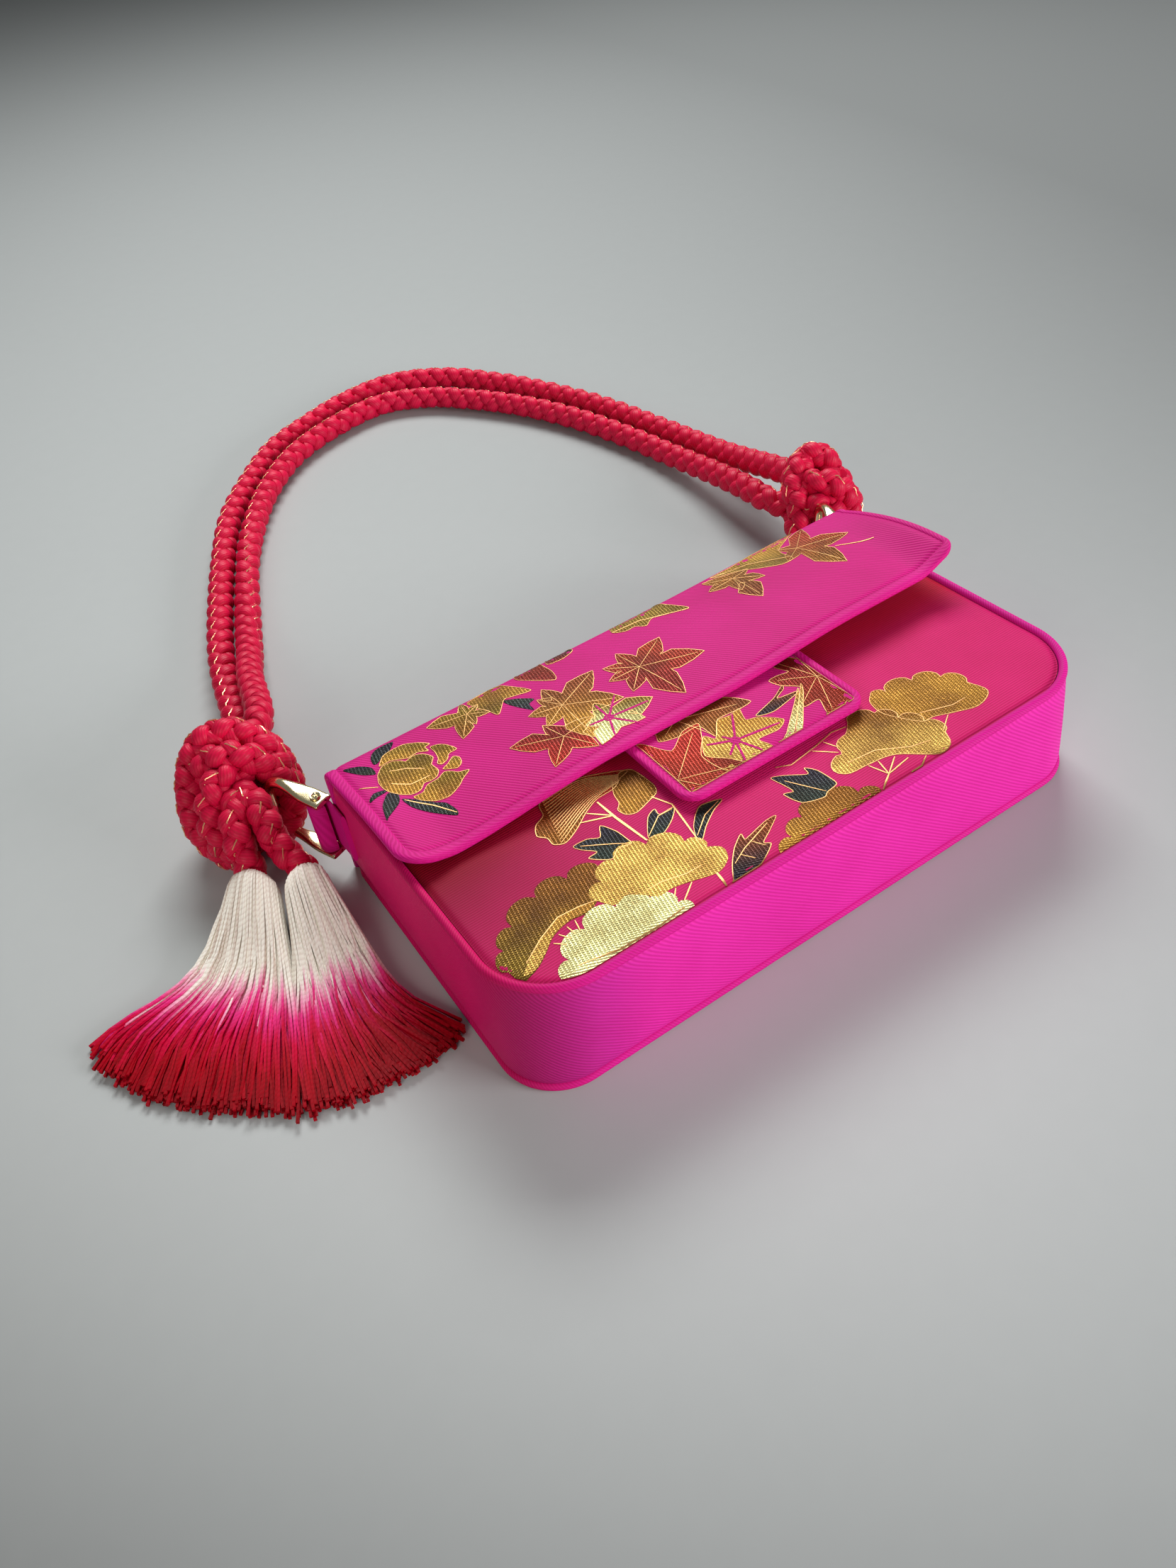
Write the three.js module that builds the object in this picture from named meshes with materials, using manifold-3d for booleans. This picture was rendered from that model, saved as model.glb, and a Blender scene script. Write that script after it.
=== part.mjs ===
// A small baguette evening bag: a box of stiffened satin with piped edges, closed by a flap with a
// padded tongue, and carried on a doubled braided cord that two screw shackles hold at the mouth's
// corners. Lengths are in millimetres. The bag lies on its back: X runs along its length, +Y from
// the base to the mouth, +Z from the back panel to the front panel. The origin is the middle of the
// back panel's outer face.
import * as THREE from 'three';
import { mergeVertices } from 'three/addons/utils/BufferGeometryUtils.js';
import Module from 'manifold-3d';

const wasm = await Module();
wasm.setup();

// Box of the bag
const bagLength = 270;
const bagHeight = 144;
const baseDepth = 53.5;
const mouthDepth = 50.5;
const backCornerRadius = 24;
const frontCornerRadius = 31;
const frontNarrowing = 1.8;
const backMouthNarrowing = 2.8;
const frontMouthNarrowing = 1.6;
const clearance = 0.3;

// Piping, panels and gusset
const pipingRadius = 1.7;
const panelThickness = 3;
const frontPanelDrop = 1;
const gussetInset = 0.8;
const gussetThickness = 2.4;
const boardThickness = 1.5;
const liningThickness = 1;

// Slip pocket on the back lining
const pocketWidth = 130;
const pocketHeight = 78;
const pocketDepth = 5.5;
const pocketWall = 1;
const pocketBottomRise = 22;

// Flap
const flapEndInset = 3;
const flapThickness = 3.2;
const flapSkinThickness = 2.1;
const flapLiningThickness = 0.8;
const flapRimWidth = 5;
const flapCornerRadius = 12;
const flapBendRadius = 6;
const flapReach = 68;
const flapFootHeight = 1;
const mouthGap = 0.6;
const leftCornerLift = 3.5;
const leftLiftRun = 22;
const leftLiftEnd = 2;
const rightCornerLift = 6;
const rightLiftRun = 20;
const rightLiftOverhang = 2;
const rightSideLift = 4;
const rightSideRun = 70;
const ridgeRightLift = 2;

// Closing tongue and its magnets
const tongueWidth = 86.5;
const tongueShift = 6.5;
const tongueReach = 36.5;
const tongueTuck = 12;
const tongueRunUp = 28;
const tongueRunEnd = 6;
const tongueThickness = 3;
const tongueRimWidth = 4.5;
const tongueCornerRadius = 8;
const magnetRadius = 9;
const magnetFromTongueTip = 20;
const socketThickness = 1;
const magnetPlateThickness = 0.65;

// Screw shackles and the fabric tabs that they turn in
const pinRadius = 2;
const pinHeadRadius = 3.3;
const pinHeadThickness = 1.2;
const pinFromFlapEnd = 5;
const pinFromMouth = 6;
const tabWidth = 25;
const tabWall = 2.3;
const tabLegThickness = 2.4;
const tabLegLength = 14;
const earWidth = 8;
const earThickness = 2.6;
const earLength = 16;
const shackleRodRadius = 2.3;
const shackleArmLength = 16;
const shackleSplay = THREE.MathUtils.degToRad(30);

// Cord handle, its knots and tassels
const strapRadius = 6.8;
const strapSides = 10;
const cordEndRadius = 5.4;
const leftKnotAt = [-160.5, 118, 27];
const leftKnotRadii = [23.5, 31, 25.5];
const rightKnotAt = [159, 117, 29];
const rightKnotRadii = [22, 27, 24];
const outerEndStart = [-163.4, 104, 26];
const outerNeck = [-169.5, 80.5, 16];
const outerTasselLength = 94;
const innerEndStart = [-152, 103, 25];
const innerNeck = [-152.5, 69.5, 16];
const innerTasselLength = 97;
const tasselHeadRadius = 10.2;
const tasselHeadLength = 15;
const tasselHeadDrop = 4.5;
const tasselShoulder = 5.5;
const fanTipThickness = 2.4;

// Rings along the curved pieces
const cornerSteps = 8;
const sideSteps = 3;
const flapStations = 40;
const bendSteps = 4;

// Finishes
const satin = new THREE.MeshStandardMaterial({ color: 0xd61e8c, roughness: 0.55, metalness: 0 });
const roseSatin = new THREE.MeshStandardMaterial({ color: 0xc8205f, roughness: 0.55, metalness: 0 });
const lining = new THREE.MeshStandardMaterial({ color: 0x8a1242, roughness: 0.7, metalness: 0 });
const board = new THREE.MeshStandardMaterial({ color: 0xb9ab92, roughness: 0.9, metalness: 0 });
const braid = new THREE.MeshStandardMaterial({ color: 0xd81c58, roughness: 0.5, metalness: 0 });
const gilt = new THREE.MeshStandardMaterial({ color: 0xd9c58a, roughness: 0.2, metalness: 1 });
const steel = new THREE.MeshStandardMaterial({ color: 0xb8b8b4, roughness: 0.3, metalness: 1 });
const thread = new THREE.MeshStandardMaterial({ color: 0xe58aa0, roughness: 0.7, metalness: 0 });

const baseY = -bagHeight / 2;
const mouthY = bagHeight / 2;
const backHalf = bagLength / 2;
const flapHalfLength = backHalf - flapEndInset;
const creaseInset = 2 * pipingRadius + clearance;
const boardInset = gussetInset + gussetThickness + clearance;
const liningInset = boardInset + boardThickness + clearance;
const interiorInset = liningInset + liningThickness;

const bag = new THREE.Group();

function part(name, geometry, material, group = bag) {
  const mesh = new THREE.Mesh(geometry, material);
  mesh.name = name;
  group.add(mesh);
  return mesh;
}

function mix(a, b, t) {
  return a + (b - a) * t;
}

// 0 up to the first edge, 1 past the second, with a smooth rise between them.
function rise(first, second, value) {
  const t = THREE.MathUtils.clamp((value - first) / (second - first), 0, 1);
  return t * t * (3 - 2 * t);
}

// The bag is a little thinner at its mouth than at its base.
function depthAt(y) {
  return mix(baseDepth, mouthDepth, (y - baseY) / bagHeight);
}

function thinToMouth(geometry) {
  const position = geometry.attributes.position;
  for (let i = 0; i < position.count; i += 1) {
    position.setZ(i, position.getZ(i) * depthAt(position.getY(i)) / baseDepth);
  }
  return geometry;
}

// A closed surface over a row of rings of points, with a flat cap on its first and last ring.
function loft(rings) {
  const count = rings[0].length;
  const points = rings.flat();
  const faces = [];
  for (let r = 0; r < rings.length - 1; r += 1) {
    for (let i = 0; i < count; i += 1) {
      const a = r * count + i;
      const b = r * count + (i + 1) % count;
      faces.push([a, b, b + count], [a, b + count, a + count]);
    }
  }
  const cap = (ring, offset, flip) => {
    const normal = new THREE.Vector3();
    ring.forEach((p, i) => {
      normal.add(new THREE.Vector3().crossVectors(p, ring[(i + 1) % count]));
    });
    const [nx, ny, nz] = normal.toArray().map(Math.abs);
    const flat = ring.map((p) => {
      if (nx >= ny && nx >= nz) return new THREE.Vector2(p.y, p.z);
      return ny >= nz ? new THREE.Vector2(p.z, p.x) : new THREE.Vector2(p.x, p.y);
    });
    const turned = THREE.ShapeUtils.isClockWise(flat);
    for (const [a, b, c] of THREE.ShapeUtils.triangulateShape(flat, [])) {
      const cross = (flat[b].x - flat[a].x) * (flat[c].y - flat[a].y)
        - (flat[b].y - flat[a].y) * (flat[c].x - flat[a].x);
      const follows = (cross < 0) === turned;
      const keep = follows !== flip;
      faces.push(keep ? [offset + a, offset + b, offset + c] : [offset + a, offset + c, offset + b]);
    }
  };
  cap(rings[0], 0, true);
  cap(rings[rings.length - 1], (rings.length - 1) * count, false);
  let volume = 0;
  for (const [a, b, c] of faces) {
    volume += points[a].dot(new THREE.Vector3().crossVectors(points[b], points[c]));
  }
  const outward = volume < 0 ? faces.map(([a, b, c]) => [a, c, b]) : faces;
  const geometry = new THREE.BufferGeometry();
  geometry.setAttribute('position', new THREE.Float32BufferAttribute(points.flatMap((p) => p.toArray()), 3));
  geometry.setIndex(outward.flat());
  geometry.computeVertexNormals();
  return geometry;
}

function toSolid(geometry) {
  const bare = new THREE.BufferGeometry();
  bare.setAttribute('position', geometry.attributes.position.clone());
  if (geometry.index) bare.setIndex(geometry.index.clone());
  const merged = mergeVertices(bare, 1e-4);
  const vertProperties = new Float32Array(merged.attributes.position.array);
  const triVerts = new Uint32Array(merged.index.array);
  return new wasm.Manifold(new wasm.Mesh({ numProp: 3, vertProperties, triVerts }));
}

function toGeometry(solid) {
  const mesh = solid.getMesh();
  const geometry = new THREE.BufferGeometry();
  geometry.setAttribute('position', new THREE.Float32BufferAttribute(mesh.vertProperties, 3));
  geometry.setIndex(Array.from(mesh.triVerts));
  geometry.computeVertexNormals();
  return geometry;
}

// The bag's U-shaped outline at one level between back (0) and front (1), from the mouth's left end
// round the base to its right end. Each point carries the direction that faces out of the bag.
function outline(level, inset) {
  const half = mix(backHalf, backHalf - frontNarrowing, level) - inset;
  const narrowing = mix(backMouthNarrowing, frontMouthNarrowing, level);
  const radius = mix(backCornerRadius, frontCornerRadius, level) - inset;
  const centreX = half - radius;
  const centreY = baseY + inset + radius;
  const right = [];
  for (let i = 0; i <= cornerSteps; i += 1) {
    const angle = -Math.PI / 2 + (Math.PI / 2) * i / cornerSteps;
    const out = new THREE.Vector2(Math.cos(angle), Math.sin(angle));
    right.push({ at: new THREE.Vector2(centreX + radius * out.x, centreY + radius * out.y), out });
  }
  for (let i = 1; i <= sideSteps; i += 1) {
    const t = i / sideSteps;
    const at = new THREE.Vector2(half - narrowing * t, mix(centreY, mouthY, t));
    right.push({ at, out: new THREE.Vector2(1, 0) });
  }
  const left = right.map(({ at, out }) => ({
    at: new THREE.Vector2(-at.x, at.y),
    out: new THREE.Vector2(-out.x, out.y),
  }));
  return [...left.reverse(), ...right];
}

function plate(level, inset, low, high) {
  const shape = new THREE.Shape(outline(level, inset).map((p) => p.at));
  const geometry = new THREE.ExtrudeGeometry(shape, { depth: high - low, bevelEnabled: false });
  return thinToMouth(geometry.translate(0, 0, low));
}

// A band that follows the outline between two insets, from one height to another.
function band(outer, inner, low, high) {
  const levels = [low, (low + high) / 2, high];
  const outside = levels.map((z) => outline(z / baseDepth, outer));
  const inside = levels.map((z) => outline(z / baseDepth, inner));
  const rings = outside[0].map((unused, i) => [
    ...levels.map((z, k) => new THREE.Vector3(outside[k][i].at.x, outside[k][i].at.y, z)),
    ...levels.map((z, k) => new THREE.Vector3(inside[k][i].at.x, inside[k][i].at.y, z)).reverse(),
  ]);
  return thinToMouth(loft(rings));
}

function piping(level, height) {
  const sides = 10;
  const rings = outline(level, pipingRadius).map(({ at, out }) => {
    const ring = [];
    for (let k = 0; k < sides; k += 1) {
      const angle = 2 * Math.PI * k / sides;
      const reach = pipingRadius * Math.cos(angle);
      ring.push(new THREE.Vector3(at.x + reach * out.x, at.y + reach * out.y,
        height + pipingRadius * Math.sin(angle)));
    }
    return ring;
  });
  return thinToMouth(loft(rings));
}

// Panels, piping, gusset and what stiffens and lines them
part('back_panel', plate(0, creaseInset, 0, panelThickness), satin);
const frontFace = baseDepth - frontPanelDrop;
part('front_panel', plate(1, creaseInset, frontFace - panelThickness, frontFace), roseSatin);
part('back_piping', piping(0, pipingRadius), satin);
part('front_piping', piping(1, baseDepth - pipingRadius), satin);
const gussetLow = 2 * pipingRadius + clearance;
const gussetHigh = baseDepth - gussetLow;
part('gusset', band(gussetInset, gussetInset + gussetThickness, gussetLow, gussetHigh), satin);
const backLiningLow = panelThickness + clearance;
const backLiningHigh = backLiningLow + liningThickness;
const frontLiningHigh = frontFace - panelThickness - clearance;
const frontLiningLow = frontLiningHigh - liningThickness;
const insideLow = backLiningHigh + clearance;
const insideHigh = frontLiningLow - clearance;
part('gusset_board', band(boardInset, boardInset + boardThickness, insideLow, insideHigh), board);
part('gusset_lining', band(liningInset, interiorInset, insideLow, insideHigh), lining);
part('back_lining', plate(0, liningInset, backLiningLow, backLiningHigh), lining);
part('front_lining', plate(1, liningInset, frontLiningLow, frontLiningHigh), lining);

// The slip pocket is a shallow tray of lining, open towards the mouth, sewn on the back lining.
const pocketLow = backLiningHigh + clearance;
const pocketBottom = baseY + pocketBottomRise;
const pocketShell = new THREE.BoxGeometry(pocketWidth, pocketHeight, pocketDepth + pocketWall);
pocketShell.translate(0, pocketBottom + pocketHeight / 2, pocketLow + (pocketDepth + pocketWall) / 2);
const pocketSpace = new THREE.BoxGeometry(pocketWidth - 2 * pocketWall, pocketHeight, pocketDepth + 1);
pocketSpace.translate(0, pocketBottom + pocketWall + pocketHeight / 2, pocketLow + (pocketDepth - 1) / 2);
part('slip_pocket', toGeometry(toSolid(pocketShell).subtract(toSolid(pocketSpace))), lining);

// Closing tongue: the stack of socket, magnet plate and tongue stands on the front panel's face.
const rimY = mouthY - flapReach;
const tongueTip = rimY - tongueReach;
const tongueTop = rimY + tongueTuck;
const magnetY = tongueTip + magnetFromTongueTip;
const faceAtMagnet = frontFace * depthAt(magnetY - magnetRadius) / baseDepth;
const socketLow = faceAtMagnet + clearance;
const plateLow = socketLow + socketThickness + clearance;
const tongueLow = plateLow + magnetPlateThickness + clearance;
const tongueHigh = tongueLow + tongueThickness;

function disc(low, thickness) {
  const geometry = new THREE.CylinderGeometry(magnetRadius, magnetRadius, thickness, 28);
  return geometry.rotateX(Math.PI / 2).translate(tongueShift, magnetY, low + thickness / 2);
}

part('magnet_socket', disc(socketLow, socketThickness), steel);

// Flap. A point of it is given by x, by how far it lies from the rim along the skin, and by how deep
// it lies under the outer face. The skin runs back from the rim, round the bend and down the cover.
const coverY = mouthY + mouthGap + flapThickness;
const bendY = coverY - flapBendRadius;
const frontReach = bendY - rimY;
const bendLength = flapBendRadius * Math.PI / 2;
const innerBend = flapBendRadius - flapThickness;
const bendOverMouth = Math.sqrt(innerBend ** 2 - (mouthY - bendY) ** 2);
const ridgeHeight = mouthDepth + 2 * clearance - bendOverMouth + flapBendRadius;
const rimOnPanel = depthAt(rimY) + clearance + flapThickness;
const rimOnTongue = tongueHigh + clearance + flapThickness;
const tongueLeft = tongueShift - tongueWidth / 2;

function ridgeTop(x) {
  return ridgeHeight + ridgeRightLift * rise(tongueShift, flapHalfLength, x);
}

function rimTop(x) {
  const overTongue = (rimOnTongue - rimOnPanel) * rise(tongueLeft - tongueRunUp, tongueLeft - tongueRunEnd, x);
  const rightSide = rightSideLift * rise(tongueShift, tongueShift + rightSideRun, x);
  const left = leftCornerLift * rise(-flapHalfLength + leftLiftRun, -flapHalfLength + leftLiftEnd, x);
  const right = rightCornerLift * rise(flapHalfLength - rightLiftRun, flapHalfLength + rightLiftOverhang, x);
  return rimOnPanel + overTongue + rightSide + left + right;
}

function skinLength(x) {
  return frontReach + bendLength + ridgeTop(x) - flapBendRadius - flapFootHeight;
}

function flapPoint(x, along, deep) {
  const top = ridgeTop(x);
  if (along <= frontReach) {
    const t = along / frontReach;
    return new THREE.Vector3(x, rimY + along, mix(rimTop(x), top, t * t) - deep);
  }
  const radius = flapBendRadius - deep;
  if (along <= frontReach + bendLength) {
    const angle = Math.PI / 2 - (along - frontReach) / flapBendRadius;
    return new THREE.Vector3(x, bendY + radius * Math.cos(angle),
      top - flapBendRadius + radius * Math.sin(angle));
  }
  const down = along - frontReach - bendLength;
  return new THREE.Vector3(x, coverY - deep, top - flapBendRadius - down);
}

// One layer of the flap: a sheet between two depths, kept a margin inside the flap's border.
function flapSheet(margin, outer, inner) {
  const half = flapHalfLength - margin;
  const radius = Math.max(flapCornerRadius - margin, 1);
  const rings = [];
  for (let i = 0; i <= flapStations; i += 1) {
    const even = 2 * i / flapStations - 1;
    const x = half * mix(even, Math.sin(even * Math.PI / 2), 0.5);
    const past = Math.min(Math.max(Math.abs(x) - (half - radius), 0), radius);
    const start = margin + radius - Math.sqrt(radius * radius - past * past);
    const stops = [0, 0.25, 0.5, 0.75].map((share) => mix(start, frontReach, share));
    for (let k = 0; k <= bendSteps; k += 1) stops.push(frontReach + bendLength * k / bendSteps);
    stops.push(skinLength(x));
    rings.push([
      ...stops.map((along) => flapPoint(x, along, outer)),
      ...stops.reverse().map((along) => flapPoint(x, along, inner)),
    ]);
  }
  return loft(rings);
}

// A padded border roll. Each station has a place, the direction into the sheet, and a point maker.
function roll(stations, width, thickness, pointAt) {
  const section = [[0, 0.35], [0.2, 0], [0.82, 0], [1, 0.2], [1, 0.8], [0.82, 1], [0.2, 1], [0, 0.65]];
  return loft(stations.map(({ at, inward }) => section.map(([across, deep]) => {
    const reach = across * width;
    return pointAt(at.x + inward.x * reach, at.y + inward.y * reach, deep * thickness);
  })));
}

// The border of a sheet with square top corners and round bottom corners: down its left side, along
// its lower edge at height 0 and up its right side. Stops gives the stations along each side.
function border(half, radius, stops) {
  const right = [];
  for (let i = 0; i <= cornerSteps; i += 1) {
    const angle = -Math.PI / 2 + (Math.PI / 2) * i / cornerSteps;
    const out = new THREE.Vector2(Math.cos(angle), Math.sin(angle));
    const at = new THREE.Vector2(half - radius + radius * out.x, radius + radius * out.y);
    right.push({ at, inward: out.clone().negate() });
  }
  for (const stop of stops) {
    right.push({ at: new THREE.Vector2(half, stop), inward: new THREE.Vector2(-1, 0) });
  }
  const left = right.map(({ at, inward }) => ({
    at: new THREE.Vector2(-at.x, at.y),
    inward: new THREE.Vector2(-inward.x, inward.y),
  }));
  const base = [];
  const baseSteps = 16;
  for (let i = 1; i < baseSteps; i += 1) {
    const x = mix(-(half - radius), half - radius, i / baseSteps);
    base.push({ at: new THREE.Vector2(x, 0), inward: new THREE.Vector2(0, 1) });
  }
  return [...left.reverse(), ...base, ...right];
}

const sheetMargin = flapRimWidth + clearance;
part('flap_skin', flapSheet(sheetMargin, 0, flapSkinThickness), satin);
part('flap_lining', flapSheet(sheetMargin, flapThickness - flapLiningThickness, flapThickness), lining);
const rimStops = [0.35, 0.7].map((share) => mix(flapCornerRadius, frontReach, share));
for (let k = 0; k <= bendSteps; k += 1) rimStops.push(frontReach + bendLength * k / bendSteps);
rimStops.push(skinLength(0));
part('flap_rim', roll(border(flapHalfLength, flapCornerRadius, rimStops), flapRimWidth, flapThickness,
  (x, along, deep) => flapPoint(x, Math.min(along, skinLength(x)), deep)), satin);

const tonguePad = new THREE.Shape();
const padHalf = tongueWidth / 2 - tongueRimWidth - clearance;
const padRadius = tongueCornerRadius - tongueRimWidth;
const padLength = tongueReach + tongueTuck - tongueRimWidth - clearance;
tonguePad.moveTo(-padHalf, padLength);
tonguePad.lineTo(-padHalf, padRadius);
tonguePad.absarc(-padHalf + padRadius, padRadius, padRadius, Math.PI, 1.5 * Math.PI);
tonguePad.lineTo(padHalf - padRadius, 0);
tonguePad.absarc(padHalf - padRadius, padRadius, padRadius, -Math.PI / 2, 0);
tonguePad.lineTo(padHalf, padLength);
const pad = new THREE.ExtrudeGeometry(tonguePad,
  { depth: tongueThickness, bevelEnabled: false, curveSegments: 6 });
pad.translate(tongueShift, tongueTip + tongueRimWidth + clearance, tongueLow);
part('tongue_pad', pad, satin);
const tongueStops = [0.5, 1].map((share) => mix(tongueCornerRadius, tongueReach + tongueTuck, share));
const tongueBorder = border(tongueWidth / 2, tongueCornerRadius, tongueStops);
part('tongue_rim', roll(tongueBorder, tongueRimWidth, tongueThickness,
  (x, up, deep) => new THREE.Vector3(tongueShift + x, tongueTip + up, tongueHigh - deep)), satin);
part('magnet_plate', disc(plateLow, magnetPlateThickness), steel);

// Screw shackles: a bow of round rod whose ends are flat ears that taper into it, turning on a pin in
// a fabric tab.
const pinX = flapHalfLength + pinFromFlapEnd;
const pinY = mouthY + pinFromMouth;
const pinZ = mouthDepth / 2 + 1;
const earInside = tabWidth / 2 + clearance;
const earMiddle = earInside + earThickness / 2;
const pinEnd = earInside + earThickness + clearance;

function pinGeometry() {
  const head = pinEnd + pinHeadThickness;
  const profile = [[0, -head], [pinHeadRadius, -head], [pinHeadRadius, -pinEnd], [pinRadius, -pinEnd],
    [pinRadius, pinEnd], [pinHeadRadius, pinEnd], [pinHeadRadius, head], [0, head]];
  const geometry = new THREE.LatheGeometry(profile.map(([r, h]) => new THREE.Vector2(r, h)), 20);
  return geometry.rotateX(Math.PI / 2);
}

// The tab is a loop of ribbon round the pin, with a leg sewn flat on the gusset's outer face.
function tabGeometry() {
  const hole = pinRadius + clearance;
  const outer = hole + tabWall;
  const legOuter = pinX - backHalf + backMouthNarrowing + gussetInset - clearance;
  const legInner = legOuter - tabLegThickness;
  const shape = new THREE.Shape();
  shape.moveTo(legOuter, -tabLegLength);
  shape.lineTo(legOuter, -pinFromMouth);
  shape.lineTo(outer, -pinFromMouth);
  shape.absarc(0, 0, outer, 0, Math.PI);
  shape.lineTo(legInner, -outer);
  shape.lineTo(legInner, -tabLegLength);
  const eye = new THREE.Path();
  eye.absarc(0, 0, hole, 0, 2 * Math.PI, true);
  shape.holes.push(eye);
  const geometry = new THREE.ExtrudeGeometry(shape,
    { depth: tabWidth, bevelEnabled: false, curveSegments: 12 });
  return geometry.translate(0, 0, -tabWidth / 2);
}

// The bow lies in the plane of its own +Y and Z, with the pin's middle at its origin.
function bowPath(reach) {
  const path = new THREE.CurvePath();
  const arm = new THREE.Vector3(0, shackleArmLength, earMiddle);
  const end = arm.clone().setZ(-earMiddle);
  path.add(new THREE.LineCurve3(new THREE.Vector3(0, earLength - earWidth / 2 - reach, earMiddle), arm));
  const turn = 12;
  let last = arm;
  for (let i = 1; i <= turn; i += 1) {
    const angle = Math.PI / 2 - Math.PI * i / turn;
    const next = i === turn ? end : new THREE.Vector3(0,
      shackleArmLength + earMiddle * Math.cos(angle), earMiddle * Math.sin(angle));
    path.add(new THREE.LineCurve3(last, next));
    last = next;
  }
  path.add(new THREE.LineCurve3(end, new THREE.Vector3(0, earLength - earWidth / 2 - reach, -earMiddle)));
  return path;
}

function circle(radius, sides) {
  const points = [];
  for (let k = 0; k < sides; k += 1) {
    const angle = 2 * Math.PI * (k + 0.5) / sides;
    points.push(new THREE.Vector2(radius * Math.cos(angle), radius * Math.sin(angle)));
  }
  return new THREE.Shape(points);
}

function rodGeometry(radius, reach) {
  return new THREE.ExtrudeGeometry(circle(radius, 10),
    { steps: 36, extrudePath: bowPath(reach), bevelEnabled: false });
}

function shackleGeometry() {
  let solid = toSolid(rodGeometry(shackleRodRadius, 0));
  for (const side of [-1, 1]) {
    const ear = new THREE.Shape();
    ear.absarc(0, 0, earWidth / 2, Math.PI, 2 * Math.PI);
    ear.lineTo(earWidth / 2, earLength - earWidth / 2);
    ear.lineTo(shackleRodRadius, earLength);
    ear.lineTo(-shackleRodRadius, earLength);
    ear.lineTo(-earWidth / 2, earLength - earWidth / 2);
    const eye = new THREE.Path();
    eye.absarc(0, 0, pinRadius + clearance, 0, 2 * Math.PI, true);
    ear.holes.push(eye);
    const geometry = new THREE.ExtrudeGeometry(ear,
      { depth: earThickness, bevelEnabled: false, curveSegments: 12 });
    solid = solid.add(toSolid(geometry.translate(0, 0, side * earMiddle - earThickness / 2)));
  }
  return toGeometry(solid);
}

// A knot fills an egg shape round the shackle's bow, with the bow's own space left free in it.
function egg(radii, grow) {
  const geometry = new THREE.SphereGeometry(1, 20, 14);
  return geometry.scale(...radii.map((radius) => radius + grow));
}

const knots = {
  left: { at: new THREE.Vector3(...leftKnotAt), radii: leftKnotRadii },
  right: { at: new THREE.Vector3(...rightKnotAt), radii: rightKnotRadii },
};

for (const side of ['left', 'right']) {
  const sign = side === 'left' ? -1 : 1;
  const place = (geometry) => geometry.translate(sign * pinX, pinY, pinZ);
  const turn = (geometry) => geometry.rotateZ(-sign * shackleSplay);
  part(`${side}_pin`, place(pinGeometry()), gilt);
  const tab = tabGeometry();
  part(`${side}_tab`, place(sign < 0 ? tab : tab.rotateY(Math.PI)), satin);
  part(`${side}_shackle`, place(turn(shackleGeometry())), gilt);
  const { at, radii } = knots[side];
  const hull = toSolid(egg(radii, 0).translate(at.x, at.y, at.z));
  const bow = toSolid(place(turn(rodGeometry(shackleRodRadius + clearance, -1))));
  part(`${side}_knot`, toGeometry(hull.subtract(bow)), braid);
}

// The cord lies doubled: two runs side by side on the floor, which climb to a knot at either end.
const floorZ = strapRadius + 0.1;
const outerRoute = [
  [-153, 136, 22], [-145.5, 152, 20], [-138.5, 170, 17], [-134, 190, 13.5], [-129, 213, 10],
  [-121.5, 240, 7.6], [-110.7, 268.6, floorZ], [-88.1, 319.5, floorZ], [-66.6, 360.1, floorZ],
  [-41.6, 390.2, floorZ], [-12.9, 417.2, floorZ], [17.9, 430.9, floorZ], [47.5, 439.8, floorZ],
  [81.9, 439.7, floorZ], [111.4, 419.9, floorZ], [130.7, 389.8, floorZ], [139.9, 371.8, floorZ],
  [158.8, 320.4, floorZ], [169, 262.8, 8], [170.5, 235, 10.5], [169.5, 205, 15.5],
  [167, 180, 22], [163.5, 158, 29], [161, 143, 33], [158, 130, 34],
];
const innerRoute = [
  [-146, 126, 36], [-138, 137, 37], [-132, 150, 34], [-126.5, 172, 27], [-121, 196, 20],
  [-111, 226, 11], [-99.5, 258.3, floorZ], [-77.6, 309.5, floorZ], [-59.3, 343, floorZ],
  [-37, 373.6, floorZ], [-7.7, 400.1, floorZ], [23.2, 414, floorZ], [62.2, 419.2, floorZ],
  [89.1, 404.7, floorZ], [105.8, 384.6, floorZ], [126.3, 350.2, floorZ], [141.5, 310.5, floorZ],
  [151.1, 266, 7.2], [153.5, 240, 8.5], [153.8, 212, 12], [151.8, 185, 17],
  [148.5, 160, 22], [146.5, 145, 24], [149, 130, 24],
];

function route(points) {
  return new THREE.CatmullRomCurve3(points.map((p) => new THREE.Vector3(...p)), false, 'centripetal');
}

function strapRun(points) {
  const tube = new THREE.ExtrudeGeometry(circle(strapRadius, strapSides),
    { steps: 39, extrudePath: route(points), bevelEnabled: false });
  let solid = toSolid(tube);
  for (const { at, radii } of Object.values(knots)) {
    solid = solid.subtract(toSolid(egg(radii, clearance).translate(at.x, at.y, at.z)));
  }
  return toGeometry(solid.decompose().sort((a, b) => b.volume() - a.volume())[0]);
}

part('strap_outer_run', strapRun(outerRoute), braid);
part('strap_inner_run', strapRun(innerRoute), braid);

// The cord's two ends leave the left knot and each ends in a round-shouldered head of bunched threads,
// whose fringe lies fanned out on the floor. Heading and spread are in degrees.
const outerFan = { heading: 226.3, spread: 25.3 };
const innerFan = { heading: 260.8, spread: 14.2 };
const tassels = [
  { name: 'outer', start: outerEndStart, neck: outerNeck, length: outerTasselLength, ...outerFan },
  { name: 'inner', start: innerEndStart, neck: innerNeck, length: innerTasselLength, ...innerFan },
];

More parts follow.
